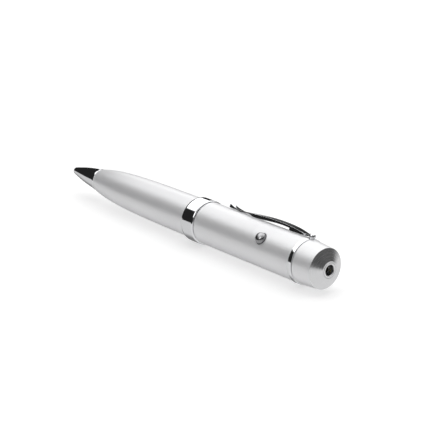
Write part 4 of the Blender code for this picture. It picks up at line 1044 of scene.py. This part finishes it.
# %% Clip
CROWN = 0.01 * MM
TOP_SINK = 0.05 * MM
ACROSS_SHARE = np.array((-1, -0.55, 0, 0.55, 1, 1, -1))
CROWN_SHARE = np.array((-1, 0.6, 1, 0.6, -1))
SECTION_EDGES = np.array((0.05, 0.5, 0.5, 0.5, 0.09, 0.09, 0.09)) * MM
top = np.repeat(STRIP_T / 2 - TOP_SINK + CROWN * CROWN_SHARE[None, :], len(path), axis=0)
underside = np.repeat(-STRIP_T / 2 - depth[:, None], 2, axis=1)
section = np.stack([width[:, None] / 2 * ACROSS_SHARE, np.hstack([top, underside])], axis=-1)
section = rounded(section, SECTION_EDGES)
lift_x = section[..., 1] * run[:, 1:]
lift_z = section[..., 1] * -run[:, :1]
clip_grid = on_clip(x[:, None] + lift_x, section[..., 0], height[:, None] + lift_z)
clip = piece("pocket_clip_bar", [sheet(capped(clip_grid))], "clip", chrome, "pocket_clip")
clip.data.set_sharp_from_angle(angle=np.radians(50))
clip.visible_glossy = False

# %% [markdown]
# ## The tail
#
# The cap narrows a little to a crisp edge, and its end is a shallow cone faced on a lathe, with the tool's
# fine rings. So one piece has two finishes, split at the edge.

# %% Tail cap
CAP_EDGE_R = CAP_R - 0.55 * MM
CAP_HOLE_R = 2.53 * MM
CONE_END_R = 2.92 * MM
SKIRT_BORE_R = 6.78 * MM
cap_edge_x = cap_x1 - 2.0 * MM
cap_floor_x = cap_edge_x - 0.3 * MM
skirt_x = cap_x0 + 0.78 * MM
corners = [
    (cap_x0, SKIRT_BORE_R),
    (cap_x0, CAP_R),
    (cap_edge_x, CAP_EDGE_R),
    (cap_x1, CONE_END_R),
    (cap_x1, CAP_HOLE_R),
    (cap_floor_x, CAP_HOLE_R),
    (cap_floor_x, RING_BORE_R),
    (skirt_x, RING_BORE_R),
    (skirt_x, SKIRT_BORE_R),
]
soft = np.array((0, 0.22, 0.1, 0.08, 0.05, 0, 0, 0, 0)) * MM
cap = turned("tail_cap_shell", corners, soft, "cap", satin, "tail_cap")
cap.data.materials.append(turned_face)
centre = np.zeros(len(cap.data.polygons) * 3)
cap.data.polygons.foreach_get("center", centre)
cap.data.polygons.foreach_set("material_index", (centre[::3] > cap_edge_x).astype(np.int32))

# %% [markdown]
# A bright bezel, held from behind by its flange, carries the laser's window in the middle of the cap. A
# rubber ring in the skirt seals the cap against the clip ring.

# %% Bezel and seal
bezel_x0, bezel_x1, _ = span("aperture_bezel")
bezel_flange_x = bezel_x0 + 0.5 * MM
window_seat_x = bezel_x0 + 1.15 * MM
BEZEL_FLANGE_R = 3.25 * MM
BEZEL_R = 2.47 * MM
MOUTH_R = 1.9 * MM
APERTURE_R = 1.74 * MM
WINDOW_SEAT_R = 2.2 * MM
corners = [
    (bezel_x0, BEZEL_FLANGE_R),
    (bezel_flange_x, BEZEL_FLANGE_R),
    (bezel_flange_x, BEZEL_R),
    (bezel_x1, BEZEL_R),
    (bezel_x1, MOUTH_R),
    (bezel_x1 - 0.2 * MM, APERTURE_R),
    (window_seat_x, APERTURE_R),
    (window_seat_x, WINDOW_SEAT_R),
    (bezel_x0, WINDOW_SEAT_R),
]
soft = np.array((0, 0, 0, 0.2, 0.12, 0.1, 0, 0, 0)) * MM
turned("aperture_bezel_ring", corners, soft, "cap", soft_chrome, "aperture_bezel")
seal_x0, seal_x1, SEAL_R = span("tail_seal")
SEAL_BORE_R = 6.26 * MM
SEAL_EDGE = 0.22 * MM
corners = [(seal_x0, SEAL_BORE_R), (seal_x0, SEAL_R), (seal_x1, SEAL_R), (seal_x1, SEAL_BORE_R)]
turned("tail_seal_ring", corners, SEAL_EDGE, "cap_seal", rubber, "tail_seal")

# %% [markdown]
# ## The writing point
#
# At the other end of the pen, the twist pushes the refill's brass point out of the nose. It is turned to a
# taper, and its end is rolled in to hold the ball.

# %% Refill point
tip_x0, tip_x1, _ = span("refill_tip")
BALL_R = 0.35 * MM
SOCKET_R = 0.42 * MM
SHANK_R = 0.64 * MM
# The taper is given by the distance from the ball's front and the radius there
TAPER = np.array(((1.1, 0.5), (4.75, 0.5), (9.2, 1.13), (9.5, 1.13))) * MM
swing = np.linspace(0, 0.72 * np.pi, 16)
ball = np.column_stack([tip_x0 + BALL_R * (1 - np.cos(swing)), BALL_R * np.sin(swing)])
taper = TAPER + (tip_x0, 0)
shank = [(taper[-1, 0], SHANK_R), (tip_x1, SHANK_R), (tip_x1, 0.0)]
outline = np.vstack([ball, [(ball[-1, 0], SOCKET_R)], taper, shank])
piece("refill_point", [sheet(carried_round(outline, TURN[::4]))], "refill", brass, "refill_tip")

# %% [markdown]
# ## The plug
#
# The plug shows once the writing half is off. Its shell is one strip of steel, stamped with four square
# windows and folded to a rounded box, so it is made as a sheet round the box with open windows, and then
# given its wall.

# %% Plug shell
plug_x0, plug_x1 = (corner.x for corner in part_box("plug_shell"))
PLUG_HALF_W = 6.0 * MM
PLUG_HALF_H = 2.25 * MM
PLUG_CORNER = 0.9 * MM
PLUG_WALL = 0.35 * MM
WINDOW_ACROSS = 2.5 * MM
WINDOW_HALF_W = 1.25 * MM
WINDOW_HALF_L = 1.0 * MM
window_mid = plug_x0 + 5.16 * MM


def in_plug(x, wide, thin):
    """Points given by x, by their way across the plug's width and by their way through its height."""
    return beside_button(x - button_x, wide, thin)


bend = np.linspace(0, np.pi / 2, 8)
arc = PLUG_CORNER * np.column_stack([np.sin(bend), np.cos(bend)])
corner_mid = np.array((PLUG_HALF_W, PLUG_HALF_H)) - PLUG_CORNER
face = level(np.linspace(-3, 3, 7) * WINDOW_HALF_W, PLUG_HALF_H)
right = np.vstack([corner_mid + arc, (corner_mid + arc)[::-1] * (1, -1)])
box_line = np.vstack([face, right, face[::-1] * (1, -1), -right])
window_rows = window_mid + np.array((-1, 0, 1)) * WINDOW_HALF_L
rows = np.concatenate([[plug_x0], window_rows, np.linspace(window_mid + 3 * MM, plug_x1, 4)])
wide, thin = (np.broadcast_to(line, (len(rows), len(line))) for line in box_line.T)
shell_grid = in_plug(np.repeat(rows[:, None], len(box_line), axis=1), wide, thin)
quad_wide, quad_thin = np.abs(box_line + np.roll(box_line, -1, axis=0)).T / 2
in_windows = np.abs(quad_wide - WINDOW_ACROSS) < WINDOW_HALF_W
in_windows &= quad_thin > PLUG_HALF_H - 0.05 * MM
in_window_rows = np.abs((rows[:-1] + rows[1:]) / 2 - window_mid) < WINDOW_HALF_L
keep = ~(in_window_rows[:, None] & in_windows)
piece("plug_shell_sheet", [sheet(shell_grid, keep=keep)], "drive_half", steel, "plug_shell", wall=PLUG_WALL)

# %% [markdown]
# The four contacts are flat springs of gilt copper in the tongue's grooves, with rounded noses.

# %% Plug contacts
spring_low, spring_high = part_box("plug_contact_1")
SPRING_STEPS = 24
SPRING_HALF_W = 0.5 * MM
SPRING_OUT = -0.15 * MM
SPRING_IN = -0.35 * MM
SPRING_EDGE = 0.04 * MM
SPRING_PLACES = np.array((-3.5, -1.0, 1.0, 3.5)) * MM
NOSE_SHARE = 0.07
u = np.linspace(0, 1, SPRING_STEPS)
spring_x = spring_low.x + (spring_high.x - spring_low.x) * u
from_end = np.clip(np.minimum(u, 1 - u) / NOSE_SHARE, 0, 1)
slim = np.sqrt(np.clip(1 - (1 - from_end) ** 2, 0.01, 1))


def contact(middle):
    """A flat bar at one place across the plug, drawn in at both ends: at a share d of the short way in from
    an end, its width is W sqrt(1 - (1 - d)^2)."""
    corners = np.array(((-1, 0), (-1, 1), (1, 1), (1, 0)))
    wide = SPRING_HALF_W * slim[:, None] * corners[:, 0]
    thin = np.broadcast_to(SPRING_IN + (SPRING_OUT - SPRING_IN) * corners[:, 1], wide.shape)
    section = rounded(np.stack([wide, thin], axis=-1), SPRING_EDGE)
    xs = np.repeat(spring_x[:, None], section.shape[1], axis=1)
    return sheet(capped(in_plug(xs, middle + section[..., 0], section[..., 1])))


names = [f"plug_contact_{number}" for number in (1, 2, 3, 4)]
piece("plug_contact_springs", [contact(place) for place in SPRING_PLACES], "drive_half", gold, *names)

# %% [markdown]
# ## Solids that keep their shape
#
# What lies inside the pen is already right as a solid, so it keeps its shape and gets its real finish.

# %% Carried solids
CARRIED = {
    brass: ("mechanism_housing",),
    brass_painted_dark_bore: ("laser_housing",),
    steel: ("refill_tube", "crystal_can", "cell_spring", "button_cell_1", "button_cell_2", "button_cell_3"),
    gold: ("cell_plate", "laser_diode"),
    black_plastic: ("plug_socket", "drive_cradle", "drive_cover", "switch_body"),
    white_plastic: ("cam_sleeve", "refill_driver", "plug_tongue", "switch_plunger"),
    board: ("drive_board", "switch_board", "laser_board"),
    resin: ("controller_chip", "memory_chip"),
    glass: ("aperture_window", "laser_lens"),
}
for material, names in CARRIED.items():
    for name in names:
        NODES[name].data.materials.clear()
        NODES[name].data.materials.append(material)
print(f"{sum(map(len, CARRIED.values()))} solids carried")
